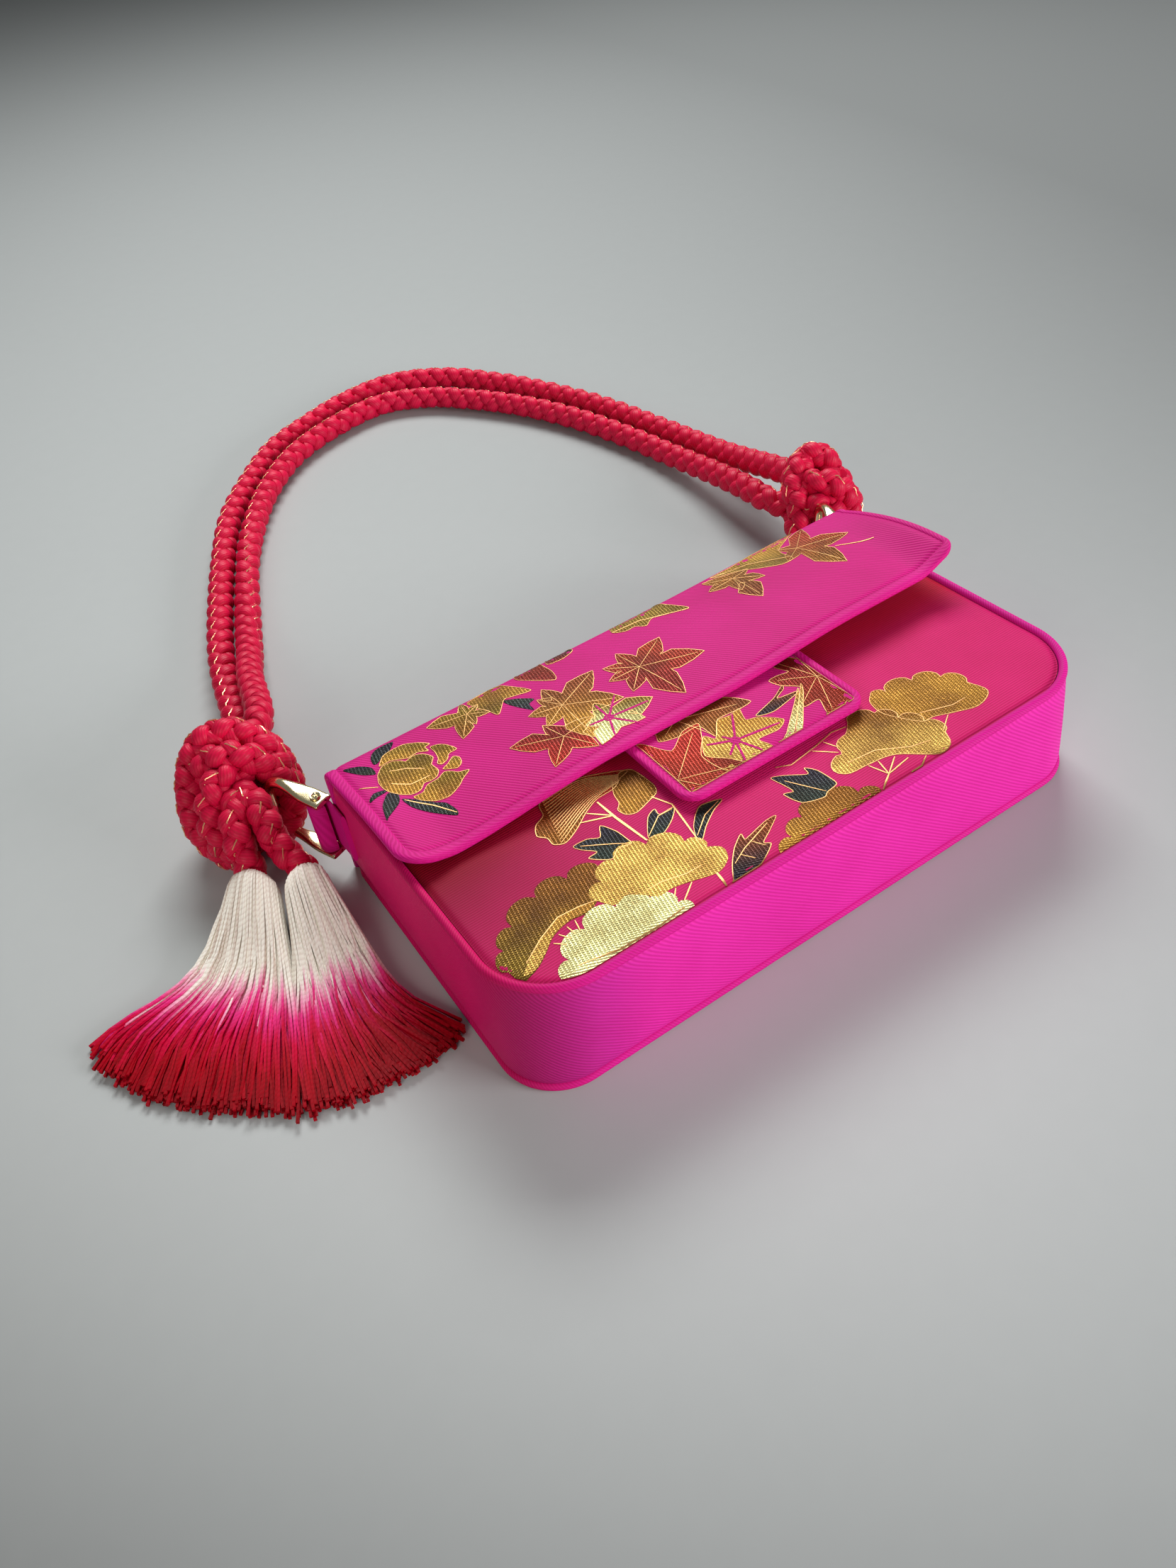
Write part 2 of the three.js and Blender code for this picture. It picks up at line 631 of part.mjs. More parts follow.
for (const { name, start, neck, heading, spread, length } of tassels) {
  const turn = THREE.MathUtils.degToRad(heading);
  const ahead = new THREE.Vector3(Math.cos(turn), Math.sin(turn), 0);
  const neckAt = new THREE.Vector3(...neck);
  const headEnd = neckAt.clone().addScaledVector(ahead, tasselHeadLength).setZ(neckAt.z - tasselHeadDrop);
  const axis = headEnd.clone().sub(neckAt);
  const cordEnd = new THREE.ExtrudeGeometry(circle(cordEndRadius, 8), { steps: 6, bevelEnabled: false,
    extrudePath: route([start, neckAt.clone().addScaledVector(axis, -0.5).toArray(),
      neckAt.clone().addScaledVector(axis.clone().normalize(), -clearance).toArray()]) });
  const knotEgg = toSolid(egg(leftKnotRadii, clearance).translate(...knots.left.at.toArray()));
  part(`${name}_cord_end`, toGeometry(toSolid(cordEnd).subtract(knotEgg)), braid);

  const half = axis.length() / 2;
  const headProfile = [[0, -half]];
  const shoulderSteps = 5;
  for (let k = 0; k <= shoulderSteps; k += 1) {
    const turned = Math.PI / 2 * k / shoulderSteps;
    headProfile.push([mix(cordEndRadius, tasselHeadRadius, Math.sin(turned)),
      tasselShoulder * (1 - Math.cos(turned)) - half]);
  }
  headProfile.push([tasselHeadRadius, half], [0, half]);
  const head = new THREE.LatheGeometry(headProfile.map(([r, h]) => new THREE.Vector2(r, h)), 16);
  head.applyQuaternion(new THREE.Quaternion().setFromUnitVectors(new THREE.Vector3(0, 1, 0),
    axis.clone().normalize()));
  const middle = neckAt.clone().add(headEnd).multiplyScalar(0.5);
  part(`${name}_tassel_head`, head.translate(...middle.toArray()), braid);

  // Rings of the fan, from the head's leaning end face to the thread tips on the floor
  const leanSlope = tasselHeadDrop / tasselHeadLength;
  const headReach = 0.85 * tasselHeadRadius;
  const fanRadius = headReach / Math.sin(THREE.MathUtils.degToRad(spread));
  const fanSide = fanRadius * Math.cos(THREE.MathUtils.degToRad(spread));
  const centre = headEnd.clone().addScaledVector(ahead, 1.5 * clearance - fanSide);
  const fanLength = length - tasselHeadLength;
  const fanSteps = 7;
  const across = 6;
  const rings = [];
  for (let k = 0; k <= fanSteps; k += 1) {
    const t = k / fanSteps;
    const top = mix(headEnd.z + headReach, fanTipThickness + clearance, Math.sqrt(t));
    const bottom = mix(headEnd.z - headReach, clearance, rise(0, 0.4, t));
    const spot = (j, height) => {
      const angle = turn + THREE.MathUtils.degToRad(mix(-spread, spread, j / across));
      const z = j % across === 0 ? mix(bottom, top, height ? 0.7 : 0.3) : mix(bottom, top, height);
      const lean = k === 0 ? (z - headEnd.z) * leanSlope : 0;
      const radius = fanRadius + fanLength * t + lean;
      return new THREE.Vector3(centre.x + radius * Math.cos(angle), centre.y + radius * Math.sin(angle), z);
    };
    const ring = [];
    for (let j = 0; j <= across; j += 1) ring.push(spot(j, 1));
    for (let j = across; j >= 0; j -= 1) ring.push(spot(j, 0));
    rings.push(ring);
  }
  part(`${name}_tassel_fringe`, loft(rings), thread);
}

export default bag;
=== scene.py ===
import math

import bpy
import numpy as np
from mathutils import Matrix
from mathutils.geometry import delaunay_2d_cdt


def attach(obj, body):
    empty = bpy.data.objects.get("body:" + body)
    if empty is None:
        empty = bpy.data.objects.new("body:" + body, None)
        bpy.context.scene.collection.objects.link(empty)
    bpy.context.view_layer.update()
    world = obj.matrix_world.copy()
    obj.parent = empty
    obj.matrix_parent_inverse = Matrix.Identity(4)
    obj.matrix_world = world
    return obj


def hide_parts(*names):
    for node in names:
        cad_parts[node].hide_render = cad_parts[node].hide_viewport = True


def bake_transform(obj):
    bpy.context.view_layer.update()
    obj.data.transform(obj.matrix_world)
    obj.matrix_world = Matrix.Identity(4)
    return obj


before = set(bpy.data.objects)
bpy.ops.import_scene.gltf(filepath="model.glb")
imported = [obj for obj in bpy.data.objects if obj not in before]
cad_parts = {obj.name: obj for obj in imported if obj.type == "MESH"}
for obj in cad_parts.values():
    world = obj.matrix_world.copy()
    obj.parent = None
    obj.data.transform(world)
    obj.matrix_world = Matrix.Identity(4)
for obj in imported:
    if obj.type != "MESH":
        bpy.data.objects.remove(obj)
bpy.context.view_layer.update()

# Camera. It stands over the bag's lower left corner and looks down across it through a wide lens.
# Place, direction and lens come from the bag's own edges in the photograph. The eye is in millimetres.
eye = np.array([-218.9, -294.5, 375.8])
rightward = np.array([0.8203, -0.562, -0.1058])
upward = np.array([0.4548, 0.5291, 0.7164])
onward = np.array([0.3467, 0.6358, -0.6896])
camera = bpy.data.objects.new("camera", bpy.data.cameras.new("camera"))
camera.data.lens = 29.07
camera.data.sensor_width = 36
camera.data.clip_start = 0.01
camera_place = np.column_stack([rightward, upward, -onward, eye / 1000])
camera.matrix_world = Matrix(np.vstack([camera_place, [0, 0, 0, 1]]).tolist())
bpy.context.scene.collection.objects.link(camera)
bpy.context.scene.camera = camera

# Back panel. A board covered with magenta ribbed satin, whose edge is turned over into the crease
# beside the piping. The whole bag lies on it.
base_depth = 53.5
mouth_depth = 50.5
crease_inset = 3.7
board_thickness = 3


def mix(first, second, share):
    """first at share 0, second at share 1, in proportion between."""
    return first + (second - first) * share


def rise(first, second, value):
    """0 up to the first edge, 1 past the second, with a smooth S between (3t^2 - 2t^3)."""
    share = np.clip((value - first) / (second - first), 0, 1)
    return share * share * (3 - 2 * share)


def depth_at(y):
    """The bag's depth, which shrinks in proportion from its base (y -72) to its mouth (y 72)."""
    return mix(base_depth, mouth_depth, (y + 72) / 144)


def outline(level, inset):
    """Half length, narrowing to the mouth and corner radius of the U outline, between back 0 and front 1."""
    return mix(135, 133.2, level) - inset, mix(2.8, 1.6, level), mix(24, 31, level) - inset


def half_width(y, level, inset):
    """Half the outline's width at y: a quarter circle at the base corner, then a straight leaning side."""
    half, narrowing, radius = outline(level, inset)
    centre = inset - 72 + radius
    corner = half - radius + np.sqrt(np.clip(radius**2 - (centre - y) ** 2, 0, None))
    side = half - narrowing * (y - centre) / (72 - centre)
    return np.where(y < centre, corner, side)


def border_gap(x, y, level, inset):
    """Distance from a point to the U outline: radial in the base corners, straight elsewhere."""
    half, narrowing, radius = outline(level, inset)
    centre = inset - 72 + radius
    over = np.abs(x) - (half - radius)
    corner = radius - np.hypot(np.maximum(over, 0), centre - y)
    straight = np.minimum(y + 72 - inset, half_width(y, level, inset) - np.abs(x))
    return np.where((over > 0) & (y < centre), corner, straight)


def cells(grid):
    """The four corners of each cell of a grid of vectors, in order round the cell."""
    corners = [grid[..., :-1, :-1, :], grid[..., 1:, :-1, :], grid[..., 1:, 1:, :], grid[..., :-1, 1:, :]]
    return np.stack(corners, axis=-2).reshape(-1, 4, grid.shape[-1])


def quads(rows, columns, around=False):
    """Corner numbers of the faces of a grid; around joins the last column to the first."""
    number = np.arange(rows * columns).reshape(rows, columns)
    if around:
        number = np.column_stack([number, number[:, 0]])
    return cells(number[..., None])[..., 0]


def outward(points, blocks):
    """Turns all faces of a closed form over where its signed volume (a . b x c) is negative."""
    volume = 0
    for faces, places in blocks:
        for k in range(1, faces.shape[1] - 1):
            wing = np.cross(points[faces[:, k]], points[faces[:, k + 1]])
            volume += np.einsum("ij,ij->", points[faces[:, 0]], wing)
    if volume < 0:
        blocks = [(faces[:, ::-1], places[:, ::-1]) for faces, places in blocks]
    return points, blocks


def sheet(top, bottom, places):
    """A closed sheet between two grids of points, with a strip of faces along its four borders."""
    rows, columns = top.shape[:2]
    count = rows * columns
    number = np.arange(count).reshape(rows, columns)
    edge = np.concatenate([number[:-1, 0], number[-1, :-1], number[:0:-1, -1], number[0, :0:-1]])
    after = np.roll(edge, -1)
    upper = quads(rows, columns)
    side = np.stack([after, edge, edge + count, after + count], axis=-1)
    faces = np.vstack([upper, upper[:, ::-1] + count, side])
    spread = np.tile(places.reshape(-1, 2), (2, 1))
    points = np.vstack([top.reshape(-1, 3), bottom.reshape(-1, 3)])
    return outward(points, [(faces, spread[faces])])


def run_along(path):
    """The distance along a path at each of its points."""
    return np.concatenate([[0], np.cumsum(np.linalg.norm(np.diff(path, axis=0), axis=1))])


def tube(rings, around=1.0):
    """A closed tube over rings of points. Its pattern runs by length along and by share x around across."""
    rows, columns = rings.shape[:2]
    faces = quads(rows, columns, True)
    wound = np.linspace(0, around, columns + 1)
    place = np.stack(np.meshgrid(run_along(rings.mean(axis=1)), wound, indexing="ij"), axis=-1)
    ends = np.stack([np.arange(columns), np.arange(columns)[::-1] + (rows - 1) * columns])
    points = rings.reshape(-1, 3)
    return outward(points, [(faces, cells(place)), (ends, np.zeros((2, columns, 2)))])


def join(forms):
    """Several closed forms as one list of points and faces."""
    points = []
    blocks = []
    start = 0
    for spots, parts in forms:
        points.append(spots)
        blocks += [(faces + start, places) for faces, places in parts]
        start += len(spots)
    return np.vstack(points), blocks


def make(name, form, finish, tint=None, crisp=50):
    """A mesh object from points in millimetres. Edges sharper than crisp degrees stay sharp."""
    points, blocks = form
    mesh = bpy.data.meshes.new(name)
    faces = [face for group, places in blocks for face in group.tolist()]
    mesh.from_pydata((points / 1000).tolist(), [], faces)
    cloth = mesh.uv_layers.new(name="cloth")
    spread = np.concatenate([places.reshape(-1) for group, places in blocks])
    cloth.data.foreach_set("uv", spread.astype(np.float32))
    if tint is not None:
        tint_and_shade = mesh.attributes.new("tint", "FLOAT_COLOR", "POINT")
        tint_and_shade.data.foreach_set("color", np.asarray(tint, np.float32).ravel())
    mesh.polygons.foreach_set("use_smooth", np.ones(len(faces), bool))
    mesh.set_sharp_from_angle(angle=math.radians(crisp))
    mesh.materials.append(finish.material)
    piece = bpy.data.objects.new(name, mesh)
    bpy.context.scene.collection.objects.link(piece)
    return piece


def fit(piece, body, slot, *nodes):
    """Fixes a piece to its body and lets it stand for the solids that it shows."""
    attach(piece, body)
    if nodes:
        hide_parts(*nodes)
    return piece


def srgb(red, green, blue):
    """A colour written from 0 to 255, as the linear colour that shaders take."""
    value = np.array([red, green, blue]) / 255
    linear = np.where(value <= 0.04045, value / 12.92, ((value + 0.055) / 1.055) ** 2.4)
    return (*linear.tolist(), 1.0)


class Wire:
    """One output of a node. Each operator on it adds one Math node."""

    def __init__(self, finish, socket):
        self.finish = finish
        self.socket = socket

    def out(self, name):
        """Another output of the same node."""
        return Wire(self.finish, self.socket.node.outputs[name])

    def math(self, operation, *terms):
        """A Math node with this operation on the terms."""
        return self.finish.node("Math", {"operation": operation}, dict(enumerate(terms)))

    def __add__(self, other):
        return self.math("ADD", self, other)

    def __sub__(self, other):
        return self.math("SUBTRACT", self, other)

    def __rsub__(self, other):
        return self.math("SUBTRACT", other, self)

    def __mul__(self, other):
        return self.math("MULTIPLY", self, other)

    def __truediv__(self, other):
        return self.math("DIVIDE", self, other)

    def sine(self):
        """The sine of the value in radians."""
        return self.math("SINE", self)

    def above(self, first, second):
        """0 below the first value, 1 above the second, smooth between."""
        smooth = {"interpolation_type": "SMOOTHSTEP"}
        return self.finish.node("MapRange", smooth, {0: self, 1: first, 2: second})


class Finish:
    """A material under way. Constants go on its Principled shader's own sockets at once."""

    def __init__(self, name, constants):
        self.material = bpy.data.materials.new(name)
        self.material.use_nodes = True
        self.tree = self.material.node_tree
        self.shader = self.tree.nodes["Principled BSDF"]
        for socket, value in constants.items():
            self.shader.inputs[socket].default_value = value

    def node(self, kind, settings=None, inputs=None, output=0):
        """Adds a node: its settings first, a ramp's stops among them, then its sockets' values or links."""
        made = self.tree.nodes.new("ShaderNode" + kind)
        for setting, value in (settings or {}).items():
            if setting == "stops":
                for k, (at, colour) in enumerate(value):
                    stop = made.color_ramp.elements[k] if k < 2 else made.color_ramp.elements.new(at)
                    stop.position = at
                    stop.color = colour
            else:
                setattr(made, setting, value)
        for socket, value in (inputs or {}).items():
            self.feed(made.inputs[socket], value)
        return Wire(self, made.outputs[output])

    def feed(self, socket, value):
        """Links a wire to a socket, or sets the socket to a plain value."""
        if isinstance(value, Wire):
            self.tree.links.new(value.socket, socket)
        else:
            socket.default_value = value

    def blend(self, share, first, second, how="MIX"):
        """Two colours mixed by a share, or combined in another way such as MULTIPLY."""
        return self.node("Mix", {"data_type": "RGBA", "blend_type": how}, {0: share, 6: first, 7: second}, 2)

    def noise(self, size, detail=2.0, where=None):
        """Cloudy noise, 0 to 1, whose patches are about size metres across."""
        place = where or self.node("TexCoord", output="Object")
        return self.node("TexNoise", {}, {"Vector": place, "Scale": 1 / size, "Detail": detail})

    def pattern(self):
        """The two numbers of the piece's own pattern place, in millimetres."""
        split = self.node("SeparateXYZ", {}, {0: self.node("UVMap", {"uv_map": "cloth"})})
        return split, split.out("Y")

    def surface(self, colour=None, height=None, depth=0.0001, **varying):
        """Feeds the shader: its colour, a bump of a height (depth in metres), and other sockets by name."""
        if colour is not None:
            self.feed(self.shader.inputs["Base Color"], colour)
        for socket, value in varying.items():
            self.feed(self.shader.inputs[socket], value)
        if height is not None:
            bump = self.node("Bump", {}, {"Distance": depth, "Height": height})
            self.feed(self.shader.inputs["Normal"], bump)
        return self


def satin(name, bright, deep, lean, pitch=1.15, relief=0.00009, strength=0.5, painted_shade=()):
    """Ribbed satin: sine ribs that lean by an angle, finer threads across them, and a slow drift of dye.
    Each painted shade multiplies the colour by a darker colour, in the share that its function of the place
    gives."""
    cloth = Finish(name, {"Sheen Weight": 0.06, "Sheen Roughness": 0.4, "Sheen Tint": bright,
                          "Specular IOR Level": 0.14})
    across, along = cloth.pattern()
    turn = math.radians(lean)
    waver = cloth.noise(0.012) * 0.5
    rib_phase = (across * math.cos(turn) + along * math.sin(turn) + waver) * (2 * math.pi / pitch)
    thread_phase = (along * math.cos(turn) - across * math.sin(turn) + waver) * (2 * math.pi / 0.55)
    ribs = rib_phase.sine() * 0.5 + 0.5
    threads = thread_phase.sine() * 0.5 + 0.5
    drift = cloth.noise(0.035, 3.0)
    grain = cloth.noise(0.0009, 2.0)
    # The ribs darken the colour in their valleys as well as sinking them in the bump: painted shade in the
    # rib valleys.
    share = ribs * strength + threads * 0.08 + grain * 0.16 + (drift - 0.5) * 0.55 + 0.3
    colour = cloth.blend(share.math("MINIMUM", share, 1.0), deep, bright)
    # Painted shade: each pair darkens the colour where its function of the place says shade falls.
    for part, tint_and_shade in painted_shade:
        colour = cloth.blend(part(across, along), colour, cloth.blend(1.0, colour, tint_and_shade, "MULTIPLY"))
    height = ribs * 0.7 + threads * 0.12 + grain * 0.2
    return cloth.surface(colour, height, relief, Roughness=0.62 - ribs * 0.08 + grain * 0.08)


magenta_satin = satin("magenta satin", srgb(226, 20, 146), srgb(180, 6, 92), 0)


def eased(count):
    """Numbers from 0 to 1 that crowd towards 0: 1 - cos t over a quarter turn."""
    return 1 - np.cos(np.linspace(0, math.pi / 2, count))


def crowded(count, share=0.8):
    """Numbers from -1 to 1 that crowd towards both ends: even ones mixed by share with sin(pi x / 2)."""
    even = np.linspace(-1, 1, count)
    return mix(even, np.sin(even * math.pi / 2), share)


def panel_grid(level, inset):
    """x and y of a panel's grid: rows crowd towards the base and its corners, columns towards the sides."""
    half, narrowing, radius = outline(level, inset)
    low = inset - 72
    rows = np.concatenate([low + radius * eased(18), np.linspace(low + radius, 72, 56)[1:]])
    columns = crowded(141)
    y = np.repeat(rows[:, None], len(columns), axis=1)
    return columns[None] * half_width(y, level, inset), y


def edge_fall(x, y, level, inset, edge, reach):
    """How far a panel's face falls towards its outline: edge x exp(-(gap / reach)^2)."""
    return edge * np.exp(-((border_gap(x, y, level, inset) / reach) ** 2))


def ripple(x, y, wave):
    """A slow unevenness between 0 and -wave: a product of two long sines."""
    return wave * (np.sin(x / 24 + 1) * np.sin(y / 29 + 0.6) - 1) / 2


def plate(level, inset, low, high, edge=0.0, reach=1.5, wave=0.0):
    """A panel between two heights. Its top sinks by edge_fall and ripple; a bottom at 0 rises at its edge."""
    x, y = panel_grid(level, inset)
    scale = depth_at(y) / base_depth
    fall = edge_fall(x, y, level, inset, edge, reach)
    top = np.stack([x, y, (high - fall + ripple(x, y, wave)) * scale], axis=-1)
    bottom = np.stack([x, y, (low + fall * (low < 1)) * scale], axis=-1)
    return sheet(top, bottom, np.stack([x, y], axis=-1))


back_cover = make("back_cover", plate(0, crease_inset, 0, board_thickness, edge=0.7), magenta_satin)
fit(back_cover, "bag", "magenta_satin", "back_panel")

# Front panel. The same construction in rose satin, one millimetre below the piping, with a soft
# shoulder where the cloth dives into the crease. Its colour is painted darker and redder under the flap,
# and darker still towards its left end: painted shade where the flap's shadow falls.
front_face = 52.65
front_edge = 0.85
front_reach = 1.5
front_wave = 0.22
# Painted shade: redder and darker towards the flap, and darker at the left end under the flap's shadow.
rose_satin = satin("rose satin", srgb(214, 32, 114), srgb(164, 10, 62), 90, 1.05, 0.00011, 0.5, (
    (lambda x, y: y.above(-16, 10), (0.82, 0.42, 0.25, 1)),
    (lambda x, y: y.above(-78, 4) * (1 - x.above(-120, -34)), (0.45, 0.24, 0.26, 1))))
front_board = plate(1, crease_inset, front_face - board_thickness, front_face, front_edge, front_reach,
                    front_wave)
front_cover = make("front_cover", front_board, rose_satin)
fit(front_cover, "bag", "rose_satin", "front_panel")

# Gusset. One long strip of magenta satin on board that makes the left side, the base and the right
# side. It swells a little between the two rows of piping and tucks under both. Its colour is painted
# darker along the left side and in the corner beside it: painted shade where they face away from the lamps.
gusset_low = 3.1
gusset_high = 50.4


def around_bag(level, inset):
    """The U outline from the mouth's left end round the base: places, outward directions and run."""
    half, narrowing, radius = outline(level, inset)
    low = inset - 72
    turn = np.linspace(-math.pi / 2, 0, 29)
    corner = np.column_stack([half - radius + radius * np.cos(turn), low + radius + radius * np.sin(turn)])
    climb = np.linspace(0, 1, 25)[1:]
    side = np.column_stack([half - narrowing * climb, mix(low + radius, 72, climb)])
    base = np.column_stack([np.linspace(0, half - radius, 45)[:-1], np.full(44, low)])
    right = np.vstack([base, corner, side])
    out = np.vstack([np.tile([0, -1], (44, 1)), np.column_stack([np.cos(turn), np.sin(turn)]),
                     np.tile([1, 0], (24, 1))])
    mirror = np.array([-1, 1])
    places = np.vstack([(right * mirror)[:0:-1], right])
    facing = np.vstack([(out * mirror)[:0:-1], out])
    return places, facing, run_along(places)


def band(outer, inner, low, high, swell=0.0, tuck=0.0):
    """A strip along the outline; its outer face swells as 1-t^2 and tucks in close to both edges as t^14."""
    heights = low + (high - low) * (1 - np.cos(np.linspace(0, math.pi, 23))) / 2
    outside = []
    inside = []
    spread = []
    for z in heights:
        t = 2 * (z - low) / (high - low) - 1
        there, facing, run = around_bag(z / base_depth, outer - swell * (1 - t * t) + tuck * t**14)
        here = around_bag(z / base_depth, inner)[0]
        outside.append(np.column_stack([there, z * depth_at(there[:, 1]) / base_depth]))
        inside.append(np.column_stack([here, z * depth_at(here[:, 1]) / base_depth]))
        spread.append(np.column_stack([run, np.full(len(run), z)]))
    return sheet(np.array(outside), np.array(inside), np.array(spread))


# Painted shade: darker along the left side and in the base corner beside it.
gusset_satin = satin("gusset satin", srgb(230, 44, 168), srgb(188, 18, 116), 52, 1.3, 0.00014, 0.5, (
    (lambda run, z: 1 - run.above(118, 168), (1, 0.52, 0.44, 1)),
    (lambda run, z: run.above(95, 135) * (1 - run.above(142, 190)), (0.62, 0.78, 0.72, 1))))
gusset_form = band(0.5, 3.2, gusset_low, gusset_high, swell=0.35, tuck=0.95)
fit(make("gusset_cover", gusset_form, gusset_satin), "bag", "magenta_satin", "gusset")

# Gusset board and linings. A strip of grey-brown board stiffens the gusset. Plum-red lining cloth
# covers it inside, and the same cloth covers the inner faces of both panels.
board_low = 4.6
board_high = 47.9
lining_inset = 5.3
lining_thickness = 1
board = Finish("raw board", {"Specular IOR Level": 0.2})
board_grain = board.noise(0.0015, 4.0)
board.surface(board.blend(board_grain, srgb(150, 136, 112), srgb(198, 184, 158)), board_grain, 0.0001,
              Roughness=board_grain * 0.1 + 0.82)
stiffener = make("gusset_stiffener", band(3.5, 5, board_low, board_high), board)
fit(stiffener, "bag", "stiffener", "gusset_board")

lining = Finish("lining cloth", {"Sheen Weight": 0.2, "Sheen Roughness": 0.5, "Specular IOR Level": 0.25})
warp, weft = lining.pattern()
weave = (warp * (2 * math.pi / 0.6)).sine() * (weft * (2 * math.pi / 0.6)).sine()
lining_drift = lining.noise(0.03, 3.0)
lining.surface(lining.blend(lining_drift * 0.7 + weave * 0.15 + 0.1, srgb(112, 12, 52), srgb(158, 26, 80)),
               weave, 0.00005, Roughness=0.72 - weave * 0.05)
gusset_inside = band(lining_inset, lining_inset + lining_thickness, board_low, board_high)
gusset_cloth = make("gusset_lining_cloth", gusset_inside, lining)
back_cloth = make("back_lining_cloth", plate(0, lining_inset, low=3.3, high=4.3), lining)
front_cloth = make("front_lining_cloth", plate(1, lining_inset, low=48.2, high=49.2), lining)
for cloth, node, under, flat in ((gusset_cloth, "gusset_lining", "gusset_stiffener", (0.51, 0.043)),
                                 (back_cloth, "back_lining", "back_cover", (0.259, 0.139)),
                                 (front_cloth, "front_lining", "front_cover", (0.256, 0.139))):
    fit(cloth, "bag", "lining", node)

# Slip pocket. A shallow pocket of lining cloth, sewn on the back lining along three sides and open
# towards the mouth. Its front is full enough to take cards.
pocket_low = 4.6
pocket_half = 65
pocket_bottom = -50
pocket_top = 28
pocket_full = 6.5
pocket_edge = 4


def pocket_face(inset, fullness):
    """Height falls from fullness to nothing over the last 4 mm at the sides and bottom, as a quarter oval."""
    half = pocket_half - inset
    bottom = pocket_bottom + inset
    x = (half * crowded(61))[None] * np.ones((44, 1))
    flat_rows = np.linspace(bottom + pocket_edge, pocket_top, 31)[1:]
    rows = np.concatenate([bottom + pocket_edge * eased(14), flat_rows])
    y = rows[:, None] * np.ones((1, 61))
    near_side = np.clip((half - np.abs(x)) / pocket_edge, 0, 1)
    near_end = np.clip((y - bottom) / pocket_edge, 0, 1)
    swell = np.sqrt(1 - (1 - near_side) ** 2) * np.sqrt(1 - (1 - near_end) ** 2)
    scale = depth_at(y) / base_depth
    return np.stack([x, y, pocket_low * scale + fullness * swell], axis=-1)


pocket = sheet(pocket_face(0, pocket_full), pocket_face(1, pocket_full - 1), pocket_face(0, 0)[..., :2])
pocket_cloth = make("slip_pocket_cloth", pocket, lining)
fit(pocket_cloth, "bag", "lining", "slip_pocket")

# Piping. A cord covered with bias-cut magenta satin, sewn between the gusset and each panel all the
# way round; the bias shows as fine slanting ribs. Its colour is painted darker along the left side,
# the same painted shade as the gusset's.
piping_radius = 1.7
# Painted shade: darker along the left side, as on the gusset.
piping_satin = satin("piping satin", srgb(220, 28, 152), srgb(170, 8, 94), 40, 1.0, 0.00006, 0.4, (
    (lambda run, around: 1 - run.above(118, 168), (0.92, 0.5, 0.44, 1)),))


def full_turn(count):
    """Even angles once around, the first at 0."""
    return np.linspace(0, 2 * math.pi, count + 1)[:-1]


def piping(level, height):
    """A round section of radius 1.7 along the outline, drawn in to a dome at both open ends."""
    there, facing, run = around_bag(level, piping_radius)
    from_end = np.minimum(run, run[-1] - run)
    size = np.sqrt(1 - (1 - np.clip(from_end / 1.5, 0.02, 1)) ** 2) * piping_radius
    turn = full_turn(16)
    reach = size[:, None] * np.cos(turn)
    x = there[:, :1] + reach * facing[:, :1]
    y = there[:, 1:] + reach * facing[:, 1:]
    z = (height + size[:, None] * np.sin(turn)) * depth_at(there[:, 1:]) / base_depth
    return tube(np.stack([x, y, z], axis=-1), 2 * math.pi * piping_radius)


fit(make("back_piping_cord", piping(0, piping_radius), piping_satin), "bag", "magenta_satin", "back_piping")
fit(make("front_piping_cord", piping(1, base_depth - piping_radius), piping_satin), "bag", "magenta_satin",
    "front_piping")

# Flap skin. Magenta satin over a thin pad, from just inside the padded rim over the bag's mouth and
# down behind it. The ribs of the cloth run slantwise to its length.
flap_half = 132
flap_thickness = 3.2
flap_rim_width = 5
side_rim_width = 2.9
flap_margin = 4.75
side_margin = 2.7
flap_radius = 12
flap_right_radius = 6.2
skin_right_radius = 0.9
rim_y = 4
bend_y = 69.8
bend_radius = 6
cover_y = 75.8
front_run = bend_y - rim_y
bend_run = bend_radius * math.pi / 2
ridge_height = 55.3679
rim_on_panel = 55.4167
rim_on_tongue = 60.5176
tongue_x = 6.5


def ridge_top(x):
    """Height of the ridge over the mouth: it climbs by 2 mm from the tongue to the right end."""
    return ridge_height + 2 * rise(tongue_x, flap_half, x)


def rim_top(x):
    """Height of the rim: it climbs over the tongue, and both corners stand off the panel."""
    over_tongue = (rim_on_tongue - rim_on_panel) * rise(-112, -42, x)
    corners = 3.5 * rise(-110, -130, x) + 7 * rise(112, 134, x)
    return rim_on_panel + over_tongue + 4 * rise(tongue_x, 76.5, x) + corners


def flap_run(x):
    """Length of the flap at x, from the rim over the bend to its lower end behind the mouth."""
    return front_run + bend_run + ridge_top(x) - bend_radius - 1


def flap(x, along, deep):
    """The flap's point under (x, along): a parabola from rim to ridge, a quarter circle, a straight drop."""
    top = ridge_top(x)
    share = np.clip(along / front_run, 0, 1)
    ease = np.sin(np.pi * share) ** 2
    soft = ease * (0.22 * np.sin(x / 19 + along / 15) + 0.2 * np.sin(x / 33 - along / 21 + 2) + 0.4)
    y_front = rim_y + along
    z_front = mix(rim_top(x), top, share**2) - deep + soft
    angle = np.pi / 2 - np.clip((along - front_run) / bend_radius, 0, np.pi / 2)
    y_bend = bend_y + (bend_radius - deep) * np.cos(angle)
    z_bend = top - bend_radius + (bend_radius - deep) * np.sin(angle)
    down = along - front_run - bend_run
    y = np.where(along <= front_run, y_front, np.where(down <= 0, y_bend, cover_y - deep))
    z = np.where(along <= front_run, z_front, np.where(down <= 0, z_bend, top - bend_radius - down))
    return np.stack([x + 0 * y, y, z], axis=-1)


def skin_border(x):
    """Half length and corner radius of the skin inside the rim, which is thin along the right side."""
    half = flap_half - np.where(x > 0, side_margin, flap_margin)
    return half, np.where(x > 0, skin_right_radius, flap_radius - flap_margin)


